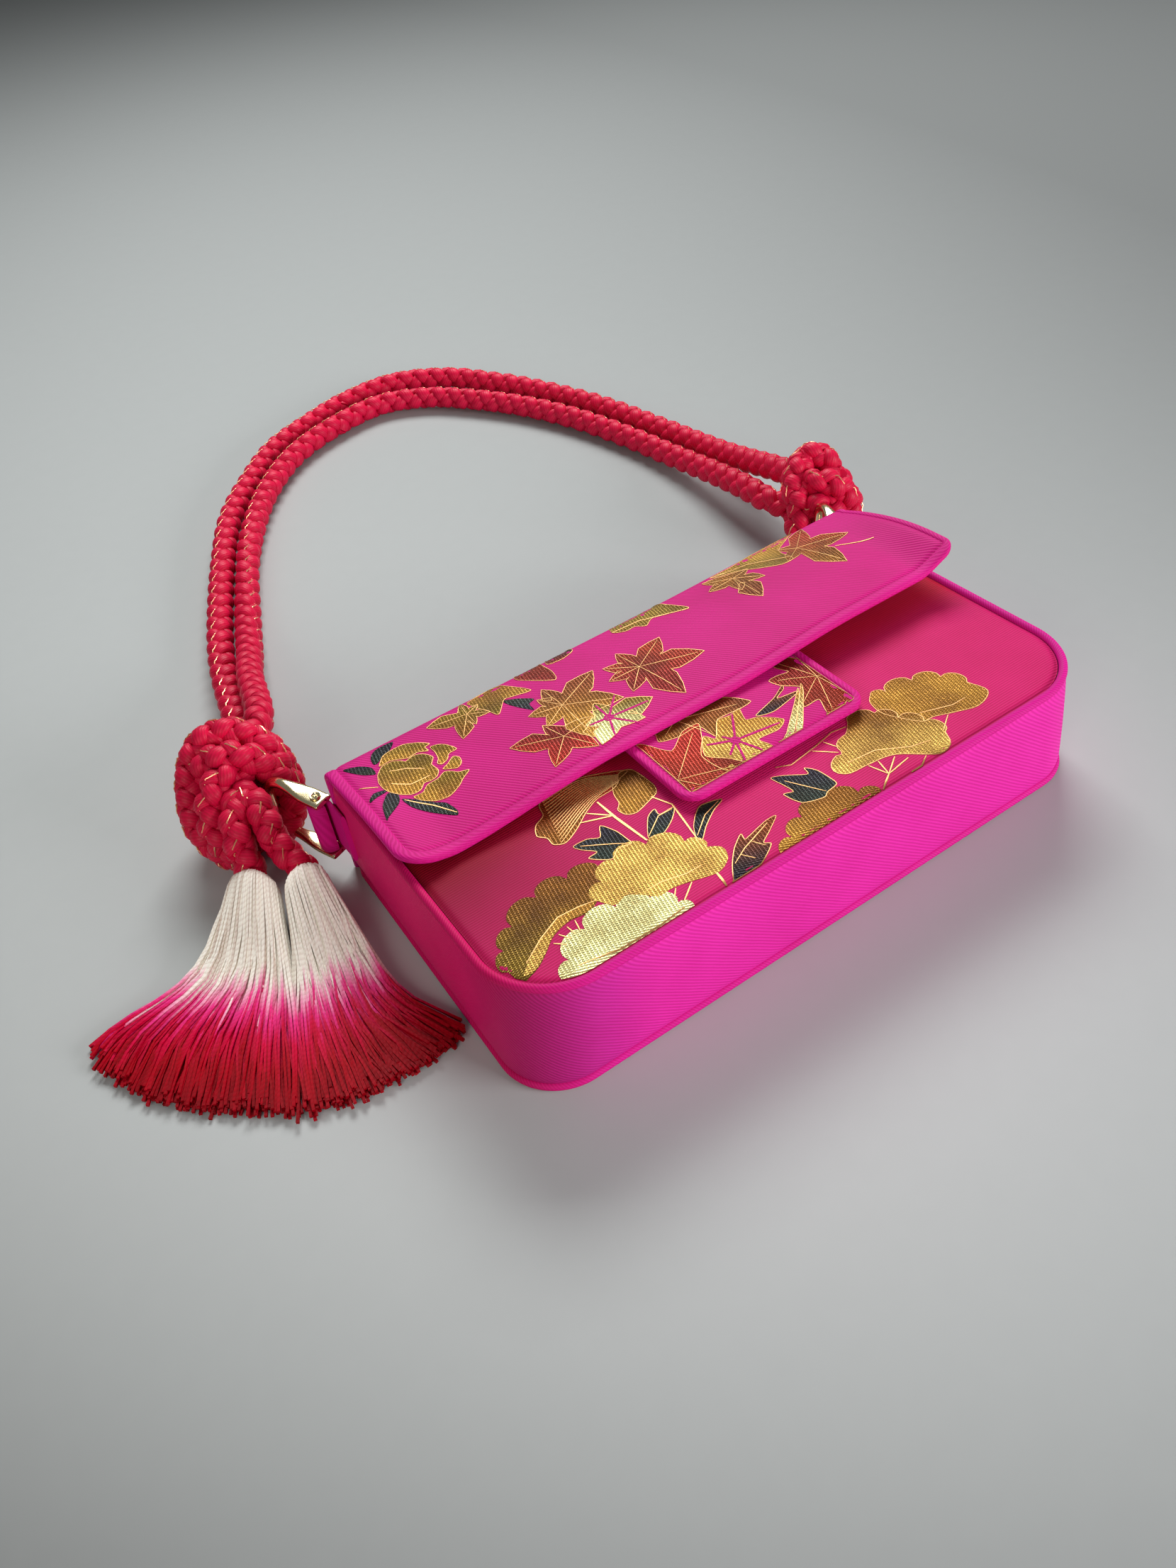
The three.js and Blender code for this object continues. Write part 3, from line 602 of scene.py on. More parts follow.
def skin_dip(x, along):
    """The skin sinks into the seam beside the rim, by 0.55 mm at its border, fading as exp(-(gap/1.3)^2)."""
    half, radius = skin_border(x)
    over = np.abs(x) - (half - radius)
    short = flap_margin + radius - along
    corner = radius - np.hypot(np.maximum(over, 0), short)
    straight = np.minimum(half - np.abs(x), along - flap_margin)
    gap = np.maximum(np.where((over > 0) & (short > 0), corner, straight), 0)
    return 0.55 * np.exp(-((gap / 1.3) ** 2))


def flap_face(x, along, lift):
    """The skin's face, sunk by skin_dip and raised by lift."""
    return flap(x, along, skin_dip(x, along) - lift)


def flap_layer(outer, inner, dip):
    """A sheet between two depths; each column of its grid starts on the rounded lower border."""
    half, radius = skin_border(np.linspace(-1, 1, 181))
    x = (half * crowded(181, 0.72))[None]
    past = np.clip(np.abs(x) - (half - radius), 0, radius)
    start = flap_margin - 0.5 * rise(118, 127, x) + radius - np.sqrt(radius**2 - past**2)
    front = np.concatenate([eased(10) * 0.06, np.linspace(0.06, 1, 33)[1:]])[:, None]
    bend = front_run + bend_run * np.linspace(0, 1, 17)[1:, None] + 0 * x
    drop = mix(front_run + bend_run, flap_run(x), np.linspace(0, 1, 25)[1:, None])
    along = np.vstack([mix(start, front_run, front), bend, drop])
    wide = x + 0 * along
    top = flap(wide, along, outer + dip * skin_dip(wide, along))
    return sheet(top, flap(wide, along, inner + 0 * along), np.stack([wide, along], axis=-1))


flap_satin = satin("flap satin", srgb(216, 24, 136), srgb(160, 6, 80), 37, 1.25, 0.00013)
flap_cloth = make("flap_cloth", flap_layer(outer=0, inner=2.1, dip=1), flap_satin)
fit(flap_cloth, "flap", "magenta_satin", "flap_skin")
flap_inside = make("flap_lining_cloth", flap_layer(outer=2.4, inner=3.2, dip=0), lining)
fit(flap_inside, "flap", "lining", "flap_lining")

# Flap rim. A fat padded roll of plain magenta satin that borders the flap on both sides and along its
# lower edge, with a clear groove where it is sewn to the skin.
rim_satin = satin("rim satin", srgb(224, 26, 146), srgb(172, 8, 92), 62, 1.15, 0.00008, 0.35)


def half_border(half, radius, stops):
    """From the middle of the lower edge round the right corner and up: places and inward directions."""
    turn = np.linspace(-np.pi / 2, 0, 15)
    out = np.column_stack([np.cos(turn), np.sin(turn)])
    corner = np.array([half - radius, radius]) + radius * out
    base = np.column_stack([np.linspace(0, half - radius, 49)[:-1], np.zeros(48)])
    side = np.column_stack([np.full(len(stops), half), stops])
    inward = np.vstack([np.tile([0.0, 1.0], (48, 1)), -out, np.tile([-1.0, 0.0], (len(stops), 1))])
    return np.vstack([base, corner, side]), inward


def border(half, left_radius, right_radius, stops):
    """The left side down, along the lower edge and up the right side."""
    left, left_inward = half_border(half, left_radius, stops)
    right, right_inward = half_border(half, right_radius, stops)
    mirror = np.array([-1, 1])
    places = np.vstack([(left * mirror)[:0:-1], right])
    return places, np.vstack([(left_inward * mirror)[:0:-1], right_inward])


def squared(value, power):
    """sign(v) |v|^power: with a power under 1 it turns a round section into a rounded rectangle."""
    return np.sign(value) * np.abs(value) ** power


def roll(stations, width, thickness, point_at):
    """A padded roll: a rounded-rectangle section along the border, from the given depths inwards."""
    places, inward = stations
    turn = full_turn(24) + np.pi / 24
    across = 0.5 - 0.5 * squared(np.cos(turn), 0.6)
    deep = 0.5 - 0.5 * squared(np.sin(turn), 0.62)
    reach = across * (width + np.zeros((len(places), 1)))
    x = places[:, :1] + inward[:, :1] * reach
    along = places[:, 1:] + inward[:, 1:] * reach
    return tube(point_at(x, along, deep[None] * thickness + 0 * x), 2 * (np.max(width) + thickness) * 0.85)


side_stops = np.concatenate([np.linspace(flap_radius, front_run, 20)[1:],
                             front_run + bend_run * np.linspace(0, 1, 13)[1:],
                             np.linspace(front_run + bend_run, flap_run(0), 16)[1:]])
rim_stations = border(flap_half, flap_radius, flap_right_radius, side_stops)
turned_right = np.clip(-rim_stations[1][:, :1], 0, 1) ** 2
flap_roll = roll(rim_stations, mix(flap_rim_width, side_rim_width, turned_right), flap_thickness,
                 lambda x, along, deep: flap(x, np.minimum(along, flap_run(x)), deep))
flap_rim_roll = make("flap_rim_roll", flap_roll, rim_satin)
fit(flap_rim_roll, "flap", "magenta_satin", "flap_rim")

# Tongue. A small padded tab sewn under the flap's rim. Its face is satin with its own border roll,
# and a magnet in it holds the bag shut.
tongue_half = 43.25
tongue_tip = -32.5
tongue_top = 16
tongue_low = 54.0183
tongue_high = 57.0183
tongue_radius = 8
tongue_roll_width = 3.4
pad_half = 40
pad_low = -29.25
pad_corner = 4.6


def tongue_face(x, y, lift):
    """The tongue's face: crowned by 0.45 mm in front of the flap, sunk by 0.5 mm along its seam."""
    side = pad_half - np.abs(x - tongue_x)
    gap = np.maximum(np.minimum(side, y - pad_low), 0)
    crown = 0.45 * rise(0, 14, gap) * rise(4, -6, y)
    height = tongue_high + crown - 0.5 * np.exp(-((gap / 1.2) ** 2)) + lift
    return np.stack([x + 0 * y, y + 0 * x, height], axis=-1)


def tongue_pad_form():
    """A sheet from tongue_face down to a flat back; its columns start on the rounded lower border."""
    x = (pad_half * crowded(61))[None]
    past = np.clip(np.abs(x) - (pad_half - pad_corner), 0, pad_corner)
    start = pad_low + pad_corner - np.sqrt(pad_corner**2 - past**2)
    share = np.concatenate([eased(8) * 0.1, np.linspace(0.1, 1, 27)[1:]])[:, None]
    y = mix(start, tongue_top, share)
    wide = x + tongue_x + 0 * y
    bottom = np.stack([wide, y, np.full_like(y, tongue_low)], axis=-1)
    return sheet(tongue_face(wide, y, 0), bottom, np.stack([wide, y], axis=-1))


tongue_cloth = make("tongue_cloth", tongue_pad_form(), flap_satin)
fit(tongue_cloth, "flap", "magenta_satin", "tongue_pad")
tongue_stops = np.linspace(tongue_radius, tongue_top - tongue_tip, 16)[1:]
tongue_stations = border(tongue_half, tongue_radius, tongue_radius, tongue_stops)
tongue_roll = roll(tongue_stations, tongue_roll_width, 3, lambda x, up, deep: np.stack(
    [x + tongue_x, up + tongue_tip, tongue_high - deep], axis=-1))
tongue_rim_roll = make("tongue_rim_roll", tongue_roll, rim_satin)
fit(tongue_rim_roll, "flap", "magenta_satin", "tongue_rim")

# Magnetic snap. A thin plated disc under the tongue meets a plated cup with a raised ring on the
# front panel.
steel = Finish("plated steel", {"Metallic": 1.0})
scratch = steel.noise(0.0006, 4.0)
steel.surface(steel.blend(scratch, srgb(168, 168, 162), srgb(206, 206, 200)), scratch, 0.00001,
              Roughness=scratch * 0.2 + 0.24)
magnet_y = -12.5


def turned(profile, centre, sides=40):
    """A turned form: a profile of (radius, height) carried round the z axis through centre."""
    turn = full_turn(sides)
    size = np.array(profile)
    x = centre[0] + size[:, :1] * np.cos(turn)
    y = centre[1] + size[:, :1] * np.sin(turn)
    z = centre[2] + size[:, 1:] + 0 * x
    return tube(np.stack([x, y, z], axis=-1), 10)


socket_profile = [
    (0.05, 0), (8.6, 0), (9, 0.25), (9, 0.7), (8.7, 1), (7.6, 1), (7.3, 0.75), (3, 0.7), (2.6, 0.9),
    (0.05, 0.9)]
plate_profile = [
    (0.05, 0.12), (2.2, 0.12), (2.5, 0), (8.7, 0), (9, 0.2), (9, 0.5), (8.8, 0.65), (0.05, 0.65)]
for name, profile, z, body, node in (("snap_cup", socket_profile, 51.768, "bag", "magnet_socket"),
                                     ("snap_disc", plate_profile, 53.068, "flap", "magnet_plate")):
    fit(make(name, turned(profile, (tongue_x, magnet_y, z)), steel, crisp=30), body, "magnet", node)

# Foil leaves and clouds. The cloth is printed with autumn maples on the flap and pine clouds on the
# front: thin gold foil, tinted red, brown or olive in places, that takes the grain of the cloth.
foil = Finish("tinted foil", {"Specular Tint": (1.0, 0.92, 0.7, 1.0)})
foil_u, foil_v = foil.pattern()
foil_waver = foil.noise(0.008) * 0.8
foil_rows = ((foil_v + foil_u * 0.35 + foil_waver) * (2 * math.pi / 0.95)).sine()
foil_weave = foil_rows * 0.6 + foil_rows * ((foil_u - foil_v * 0.2) * (2 * math.pi / 1.35)).sine() * 0.4
foil_cloud = foil.noise(0.016, 2.0)
foil_grain = foil.noise(0.0011, 3.0)
foil_tint = foil.node("Attribute", {"attribute_name": "tint"})
# Partly painted shade: the foil darkens to brown in slow patches and in the gaps of its weave, as well as by
# its print's own mottling.
foil_dark = foil.blend(0.8, foil_tint, srgb(128, 84, 44), "MULTIPLY")
foil_share = (foil_cloud * 1.4 + foil_grain * 0.6 + foil_weave * 0.3 - 0.54).above(-0.02, 0.72)
foil.surface(foil.blend(foil_share, foil_dark, foil_tint), foil_weave * 0.7 + foil_grain * 1.0, 0.00019,
             Roughness=0.42 - foil_share * 0.1, Metallic=foil_grain * 0.2 + 0.45)

gold_line = Finish("gold line", {"Metallic": 0.55})
line_grain = gold_line.noise(0.0012, 2.0)
gold_line.surface(gold_line.blend(line_grain, srgb(176, 116, 66), srgb(220, 182, 114)), line_grain, 0.00004,
                  Roughness=line_grain * 0.2 + 0.32)

PALE_GOLD = srgb(248, 252, 176)
BRIGHT_GOLD = srgb(224, 184, 92)
GOLD = srgb(180, 130, 48)
BROWN_GOLD = srgb(134, 84, 24)
OLIVE_GOLD = srgb(128, 102, 30)
BROWN = srgb(122, 56, 22)
RED_BROWN = srgb(148, 42, 24)
DARK_RED = srgb(132, 22, 26)
RED = srgb(176, 38, 32)
GREEN = srgb(34, 50, 46)
NAVY = srgb(28, 30, 48)
foil_cell = 1.9


def inside(points, outline_points):
    """True for each point that a ray to the right leaves through an odd number of the outline's sides."""
    first = outline_points
    second = np.roll(outline_points, -1, axis=0)
    side = second - first
    x = points[:, :1]
    y = points[:, 1:]
    spans = (first[:, 1] > y) != (second[:, 1] > y)
    slope = side[:, 0] / np.where(side[:, 1] == 0, 1e-9, side[:, 1])
    crossings = spans & (x < first[:, 0] + slope * (y - first[:, 1]))
    return crossings.sum(axis=1) % 2 == 1


def fine(points, step=1.2, closed=True):
    """The same line with a point at least every step."""
    points = np.asarray(points, float)
    ends = np.roll(points, -1, axis=0) if closed else points[1:]
    pieces = []
    for a, b in zip(points, ends):
        count = max(1, int(math.ceil(np.linalg.norm(b - a) / step)))
        pieces.append(mix(a, b, np.linspace(0, 1, count + 1)[:-1, None]))
    if not closed:
        pieces.append(points[-1:])
    return np.vstack(pieces)


def smooth_path(points, count):
    """A centripetal Catmull-Rom curve through the points, resampled at even distances."""
    points = np.asarray(points, float)
    ring = np.vstack([2 * points[0] - points[1], points, 2 * points[-1] - points[-2]])
    gaps = np.sqrt(np.linalg.norm(np.diff(ring, axis=0), axis=1))
    dense = []
    for k in range(1, len(ring) - 2):
        p0, p1, p2, p3 = ring[k - 1:k + 3]
        d0, d1, d2 = gaps[k - 1:k + 2]
        m1 = ((p1 - p0) / d0 - (p2 - p0) / (d0 + d1) + (p2 - p1) / d1) * d1
        m2 = ((p2 - p1) / d1 - (p3 - p1) / (d1 + d2) + (p3 - p2) / d2) * d1
        t = np.linspace(0, 1, 25)[:-1, None]
        dense.append((2 * t**3 - 3 * t**2 + 1) * p1 + (t**3 - 2 * t**2 + t) * m1
                     + (3 * t**2 - 2 * t**3) * p2 + (t**3 - t**2) * m2)
    line = np.vstack(dense + [points[-1:]])
    run = run_along(line)
    even = np.linspace(0, run[-1], count)
    return np.column_stack([np.interp(even, run, line[:, k]) for k in range(line.shape[1])])


def maple(centre, tips, notch=0.5, belly=0.25):
    """A maple leaf: each tip is a lobe with a belly at 0.55 of its length, and notches lie between tips."""
    centre = np.array(centre, float)
    arms = np.array(tips, float) - centre
    arms = arms[np.argsort(np.arctan2(arms[:, 1], arms[:, 0]))]
    points = []
    for k, arm in enumerate(arms):
        after = arms[(k + 1) % len(arms)]
        normal = np.array([-arm[1], arm[0]])
        points += [arm * 0.56 - normal * belly, arm * 0.8 - normal * belly * 0.55, arm,
                   arm * 0.8 + normal * belly * 0.55, arm * 0.56 + normal * belly]
        between = arm / np.linalg.norm(arm) + after / np.linalg.norm(after)
        turn = (np.arctan2(after[1], after[0]) - np.arctan2(arm[1], arm[0])) % (2 * np.pi)
        if turn > np.pi:
            between = -between
        length = notch * min(np.linalg.norm(arm), np.linalg.norm(after)) if turn < 2.4 else 1.5
        points.append(between / max(np.linalg.norm(between), 1e-6) * length)
    return centre + np.array(points)


def curved(points, share=0.75):
    """A closed line through the points, between its straight sides (share 0) and a Catmull-Rom curve (1)."""
    here = np.asarray(points, float)[:, None]
    before, after, beyond = [np.roll(here, -k, axis=0) for k in (-1, 1, 2)]
    t = np.linspace(0, 1, 7)[None, :-1, None]
    curve = here + 0.5 * ((after - before) * t + (2 * before - 5 * here + 4 * after - beyond) * t**2
                          + (3 * here - before - 3 * after + beyond) * t**3)
    return mix(mix(here, after, t), curve, share).reshape(-1, 2)


def cloud(valleys, rest, bulge=0.38):
    """A cloud: arcs that swell by bulge x chord between the valleys, then the smooth rest of the outline."""
    valleys = np.array(valleys, float)
    middle = np.vstack([valleys, rest]).mean(axis=0)
    rest = smooth_path(np.vstack([valleys[-1:], rest, valleys[:1]]), 40)[1:-1]
    points = []
    for a, b in zip(valleys[:-1], valleys[1:]):
        chord = b - a
        out = np.array([chord[1], -chord[0]])
        if out @ ((a + b) / 2 - middle) < 0:
            out = -out
        share = np.linspace(0, 1, 13)[:-1, None]
        points.append(a + chord * share + out * bulge * np.sqrt(np.clip(1 - (2 * share - 1) ** 2, 0, 1)))
    return np.vstack(points + [valleys[-1:], rest])


def foil_form(shapes, face):
    """Thin closed leaves of foil. Each outline is filled with triangles at most 2 mm wide, lifted off the
    cloth by its layer, and closed underneath inside the cloth. Its tint runs from one colour to another
    across the leaf, partly the print's own colours and partly painted light, brighter and darker as the
    foil's reflections fall. Returns the form and each point's tint."""
    forms = []
    tints = []
    scatter = np.random.default_rng(7)
    for layer, (points, first, second) in enumerate(shapes):
        edge = fine(points)
        steps = [np.arange(edge[:, k].min(), edge[:, k].max(), foil_cell) for k in (0, 1)]
        seeds = np.stack(np.meshgrid(*steps, indexing="ij"), axis=-1).reshape(-1, 2)
        seeds = seeds + scatter.uniform(-0.5, 0.5, seeds.shape)
        seeds = seeds[inside(seeds, edge)] if len(seeds) else seeds
        if len(seeds):
            clear = np.linalg.norm(seeds[:, None] - edge[None], axis=2).min(axis=1) > 0.8
            seeds = seeds[clear]
        everything = np.vstack([edge, seeds])
        sides = [(k, (k + 1) % len(edge)) for k in range(len(edge))]
        found = delaunay_2d_cdt([tuple(p) for p in everything.tolist()], sides, [], 1, 1e-5)
        flat = np.array([tuple(p) for p in found[0]])
        faces = np.array([f for f in found[2] if len(f) == 3])
        if not len(faces):
            continue
        count = len(flat)
        pairs = np.vstack([faces[:, [0, 1]], faces[:, [1, 2]], faces[:, [2, 0]]])
        known = set(map(tuple, pairs.tolist()))
        rim = np.array([pair for pair in pairs.tolist() if (pair[1], pair[0]) not in known])
        wall = np.stack([rim[:, 1], rim[:, 0], rim[:, 0] + count, rim[:, 1] + count], axis=-1)
        lift = 0.06 + 0.009 * layer
        spots = np.vstack([face(flat[:, 0], flat[:, 1], lift), face(flat[:, 0], flat[:, 1], -0.15)])
        spread = np.vstack([flat, flat])
        caps = np.vstack([faces, faces[:, ::-1] + count])
        forms.append(outward(spots, [(caps, spread[caps]), (wall, spread[wall])]))
        reach = spread @ np.array([0.45, 0.9])
        share = rise(np.percentile(reach, 5), np.percentile(reach, 95), reach)[:, None]
        tints.append(mix(np.array(first), np.array(second), share))
    return join(forms), np.vstack(tints)


def unit(vectors):
    """Vectors of length 1 in the same directions."""
    return vectors / np.maximum(np.linalg.norm(vectors, axis=-1, keepdims=True), 1e-9)


def directions(path):
    """The unit direction of a path at each of its points."""
    return unit(np.gradient(path, axis=0))


def ribbon_form(lines, face, raised=0.0):
    """Thin gold lines: (points, width) each, drawn out to nearly nothing at both ends. Each stands 0.2 mm
    off the cloth, 0.24 mm along its middle, and reaches 0.12 mm into it."""
    forms = []
    for points, width in lines:
        line = fine(points, 0.9, False)
        if len(line) < 3:
            continue
        way = directions(line)
        side = np.column_stack([-way[:, 1], way[:, 0]])
        share = np.linspace(0, 1, len(line))
        taper = 0.35 + 0.65 * np.sin(np.pi * np.clip(share, 0.04, 0.96)) ** 0.35
        reach = side * (width / 2 * taper)[:, None]
        strip = np.stack([line - reach, line, line + reach], axis=1)
        x, y = np.moveaxis(strip, -1, 0)
        top = face(x, y, 0.2 + np.array([0, 0.04, 0]) + 0 * x + raised)
        forms.append(sheet(top, face(x, y, 0 * x - 0.12 + raised), strip))
    return join(forms)


def rings(outlines, width=0.28):
    """Each outline as a closed gold line."""
    return [(np.vstack([points, points[:1]]), width) for points in outlines]


def veins(centre, tips, width=0.26, reach=0.9):
    """A line from the heart of a leaf towards each of its tips."""
    heart = np.array(centre, float)
    return [(np.array([heart, mix(heart, np.array(tip, float), reach)]), width) for tip in tips]


leaf_a = ((93.6, 55.5), [(115.6, 47.1), (98.4, 29.1), (83.2, 48.9), (87.6, 62.1), (107.2, 68.1)])
leaf_c = ((60.4, 58.2), [(69.2, 47.7), (58, 35.7), (56, 46.8), (46.8, 57.9), (49.6, 66.3), (69.6, 59.7)])
leaf_f = (
    (-6.4, 34.8),
    [(12, 46.5), (18.4, 24.6), (-2.8, 9), (-17.6, 23.4), (-20.8, 35.4), (-17.6, 44.7), (-7.6, 50.1)])
leaf_g = (
    (-42.4, 36.3),
    [(-20.8, 47.1), (-22.4, 23.1), (-44, 11.4), (-54, 29.4), (-56, 40.2), (-48, 46.8), (-42.8, 51.6)])
leaf_h = ((-33.6, 17.1), [(-14, 15.6), (-23.2, 7.8), (-44.4, 6.2), (-43.2, 19.2), (-33.2, 28.2)])
leaf_i = ((-52.4, 20.1), [(-71, 30), (-55, 31.5), (-38, 22), (-45.5, 6.4), (-64, 8.5)])
leaf_k = (
    (-72.4, 60.6), [(-88.8, 64.5), (-81.2, 48.3), (-72.8, 52.2), (-64.8, 54.9), (-66, 63), (-71.2, 68.7)])
olive_b = [
    (54.8, 67.5), (66.8, 67.5), (79.6, 69.3), (91.2, 69.6), (102.8, 69.6), (88, 60.9), (86.4, 49.5),
    (80, 49.2), (72.8, 54.9), (66, 61.5)]
olive_d = [
    (1.2, 65.1), (6, 61.5), (10.4, 61.5), (14, 58.2), (20, 61.2), (33.6, 54.6), (31.2, 62.1), (27, 70),
    (22, 76), (12, 78), (4, 72)]
dark_e = [(-46, 67.5), (-42.4, 61.5), (-34.8, 53.4), (-32.4, 59.7), (-32.8, 67.2), (-33, 73), (-40, 74)]
sliver_e = [(-31, 66), (-24, 64.6), (-17.6, 66.9), (-20, 72), (-28, 72)]
olive_j = [
    (-68.4, 67.2), (-58.4, 69.3), (-52.4, 67.2), (-45.6, 54.9), (-52.8, 56.7), (-56.8, 57.6),
    (-63.2, 50.7), (-65.2, 55.5), (-67.2, 60.6), (-68, 63.9)]
dark_sprig = [
    (-57.2, 57.3), (-52.4, 53.7), (-48, 48.6), (-51.2, 47.1), (-52, 42.3), (-55.6, 48.9), (-57.6, 54.6)]
bud_crown = [
    (-113.6, 57.3), (-110, 61.5), (-105.6, 62.4), (-100.4, 62.1), (-95.6, 59.1), (-92.4, 55.5),
    (-94.8, 54.9), (-94.8, 52.2), (-98.4, 54.3), (-102.8, 54), (-106, 55.8), (-109.2, 57.3), (-112.4, 57)]
bud_body = [
    (-115.2, 54.3), (-112.8, 56.4), (-108.8, 56.4), (-105.6, 54.3), (-104.4, 52.8), (-100.8, 53.7),
    (-97.2, 51.9), (-95.2, 47.7), (-97.6, 44.4), (-97.2, 39.9), (-99.2, 37.2), (-102, 36.6),
    (-104.8, 37.2), (-107.6, 34.8), (-111.2, 34.8), (-114.8, 37.2), (-117.2, 40.2), (-118.4, 43.5),
    (-118.4, 48), (-116.8, 52.2)]
bud_right = [
    (-93.2, 53.4), (-90, 52.5), (-87.6, 49.8), (-86, 45.3), (-89.6, 45), (-91.6, 42.6), (-94.4, 41.7),
    (-95.6, 43.2), (-94, 45.6), (-93.2, 49.5)]
bud_side = [
    (-95.6, 39), (-92.8, 40.2), (-89.2, 42.3), (-87.6, 40.2), (-88.4, 37.2), (-90.8, 35.7), (-93.2, 36.9)]
bud_low = [
    (-111.6, 33), (-107.6, 33), (-104.4, 35.4), (-99.6, 35.7), (-96, 37.2), (-93.6, 35.4), (-92, 33.3),
    (-88.4, 31.5), (-92.4, 29.1), (-95.6, 26.7), (-100.8, 24.6), (-106, 25.8), (-110, 29.4)]
bud_leaves = [
    [(-125.6, 64.6), (-122.8, 63.9), (-119.2, 61.8), (-116.4, 58.5), (-116.8, 54), (-120.8, 56.4),
     (-124, 60.9)],
    [(-114.4, 63), (-112.8, 65.4), (-109.2, 67.2), (-102.8, 66.6), (-106.4, 62.7), (-110, 61.5),
     (-113.2, 59.4), (-114.8, 59.7)],
    [(-126, 40.4), (-122.8, 43.2), (-118.8, 42.9), (-118.4, 41.7), (-122.8, 40.5), (-125.9, 39.2)],
    [(-125.9, 26.4), (-123.6, 34.2), (-119.2, 39.9), (-116.8, 39.9), (-115.6, 36.9), (-117.6, 33),
     (-121.6, 29.7), (-124.4, 27.6)],
    [(-115.6, 34.5), (-111.2, 30.9), (-106.8, 25.5), (-103.6, 22.2), (-102.4, 16.5), (-103.6, 14.4),
     (-108, 18.9), (-112, 24), (-114.8, 28.8)]]
flap_shapes = [
    (curved(olive_b), OLIVE_GOLD, GOLD),
    (curved(olive_d), OLIVE_GOLD, OLIVE_GOLD),
    (curved(dark_e), DARK_RED, RED_BROWN),
    (curved(sliver_e), DARK_RED, NAVY),
    (curved(olive_j), OLIVE_GOLD, GOLD),
    (curved(dark_sprig), NAVY, GREEN),
    (maple(*leaf_a), BROWN_GOLD, RED_BROWN),
    (maple(*leaf_c), BROWN, BROWN_GOLD),
    (maple(*leaf_k), BROWN_GOLD, OLIVE_GOLD),
    (maple(*leaf_f), DARK_RED, RED_BROWN),
    (maple(*leaf_i), RED, DARK_RED),
    (maple(*leaf_g), GOLD, BROWN),
    (maple(*leaf_h, 0.55, 0.3), PALE_GOLD, OLIVE_GOLD),
] + [(curved(points), GREEN, NAVY) for points in bud_leaves] + [
    (curved(points), GOLD, OLIVE_GOLD) for points in (bud_crown, bud_body, bud_right, bud_side, bud_low)]
flap_lines = rings([shape[0] for shape in flap_shapes if shape[1] not in (GREEN, NAVY)])
for leaf in (leaf_a, leaf_c, leaf_f, leaf_g, leaf_i, leaf_k):
    flap_lines += veins(*leaf)
flap_strokes = [
    ([(104, 42.6), (111, 38), (118, 33.9)], 0.5), ([(-126, 49.5), (-119.6, 45.9)], 0.35),
    ([(1.2, 65.1), (14, 64), (33.6, 54.6)], 0.5), ([(-115, 33.5), (-108, 24.5), (-103, 15.5)], 0.5),
    ([(-114.8, 45), (-109, 40), (-101, 39.4)], 0.5), ([(-112, 52), (-106, 49), (-100.6, 44)], 0.45),
    ([(54.8, 67.5), (72, 63), (86.4, 52)], 0.5)]
flap_lines += [(np.array(points), width) for points, width in flap_strokes]


def clipped(points, low_x, high_x, low_y, high_y):
    """The outline held inside a rectangle."""
    return np.column_stack([np.clip(points[:, 0], low_x, high_x), np.clip(points[:, 1], low_y, high_y)])


def open_veins(centre, tips, middle, low_x, high_x, low_y, high_y):
    """Lines where the cloth shows through the gold: a small ring at the leaf's heart and veins from it."""
    turn = np.linspace(0, 2 * np.pi, 13)
    ring = np.array(centre, float) + middle * np.column_stack([np.cos(turn), np.sin(turn)])
    lines = [(ring, 0.9)] + veins(centre, tips, 0.95, 0.96)
    return [(clipped(points, low_x, high_x, low_y, high_y), width) for points, width in lines]


def print_foil(name, leaves, shapes, lines, face, body, slot, raised=0.0):
    """Lays the leaves of foil on a face of the cloth, and the gold lines over them."""
    form, tint = foil_form(shapes, face)
    fit(make(f"{name}_foil_{leaves}", form, foil, tint), body, slot)
    fit(make(f"{name}_foil_lines", ribbon_form(lines, face, raised), gold_line), body, slot)


in_rim = (-126, 126, 5.8, 100)
h_veins = [(-24, 27), (-16, 14.8), (-26.4, 6.6), (-38, 6.4), (-42, 18.4), (-33.4, 27)]
bare_flap = ribbon_form(open_veins((-33.6, 17.1), h_veins, 1.6, *in_rim), flap_face, 0.07)
fit(make("flap_bare_veins", bare_flap, flap_satin), "flap", "magenta_satin")
flap_lines = [(clipped(points, *in_rim), width) for points, width in flap_lines]
print_foil("flap", "leaves", flap_shapes, flap_lines, flap_face, "flap", "magenta_satin", 0.05)

tongue_1 = [
    (50, 8.5), (46.1, 3.3), (42.3, 7.7), (39.8, 10.1), (35.7, 10), (35, 5.5), (37.3, -0.3), (31.9, 0.8),
    (27.8, 0.4), (29.2, -5), (34.7, -11.3), (27.7, -20.1), (34.8, -20.5), (32.9, -26.1), (31.4, -31.5),
    (36.5, -31.3), (42.5, -27.7), (42.6, -32.6), (48.2, -30.7), (50.2, -23.4), (50, -9.6), (50.8, -0.6),
    (50.8, 5.8)]
tongue_2 = [
    (29.3, -5.4), (22.2, -9), (10.9, -12.1), (13.9, -14.1), (18.6, -14.8), (30, -12.8), (31.7, -11.6),
    (23.2, -9.9), (28.8, -7.2)]
stem_1 = [(33.2, -10.4), (25.6, -16.9), (8.2, -31.4), (12.4, -31.2), (23.1, -21.5), (30.5, -14.3)]
stem_2 = [(35.8, -9.1), (33.7, -12.9), (17.4, -31.1), (13.9, -31.3), (23.3, -21.7), (30.6, -14.4)]
tongue_3 = [
    (-28.3, 8.9), (-23.4, 9.9), (-10.5, 10.2), (2.3, 10), (8.6, 4.8), (12.2, 0.6), (14.7, -4.5),
    (9.2, -5.2), (-1.3, -4.3), (-7.8, -11.6), (-9.2, -2.5), (-18.4, -2.4), (-25.5, 0.3), (-24, 5.1)]
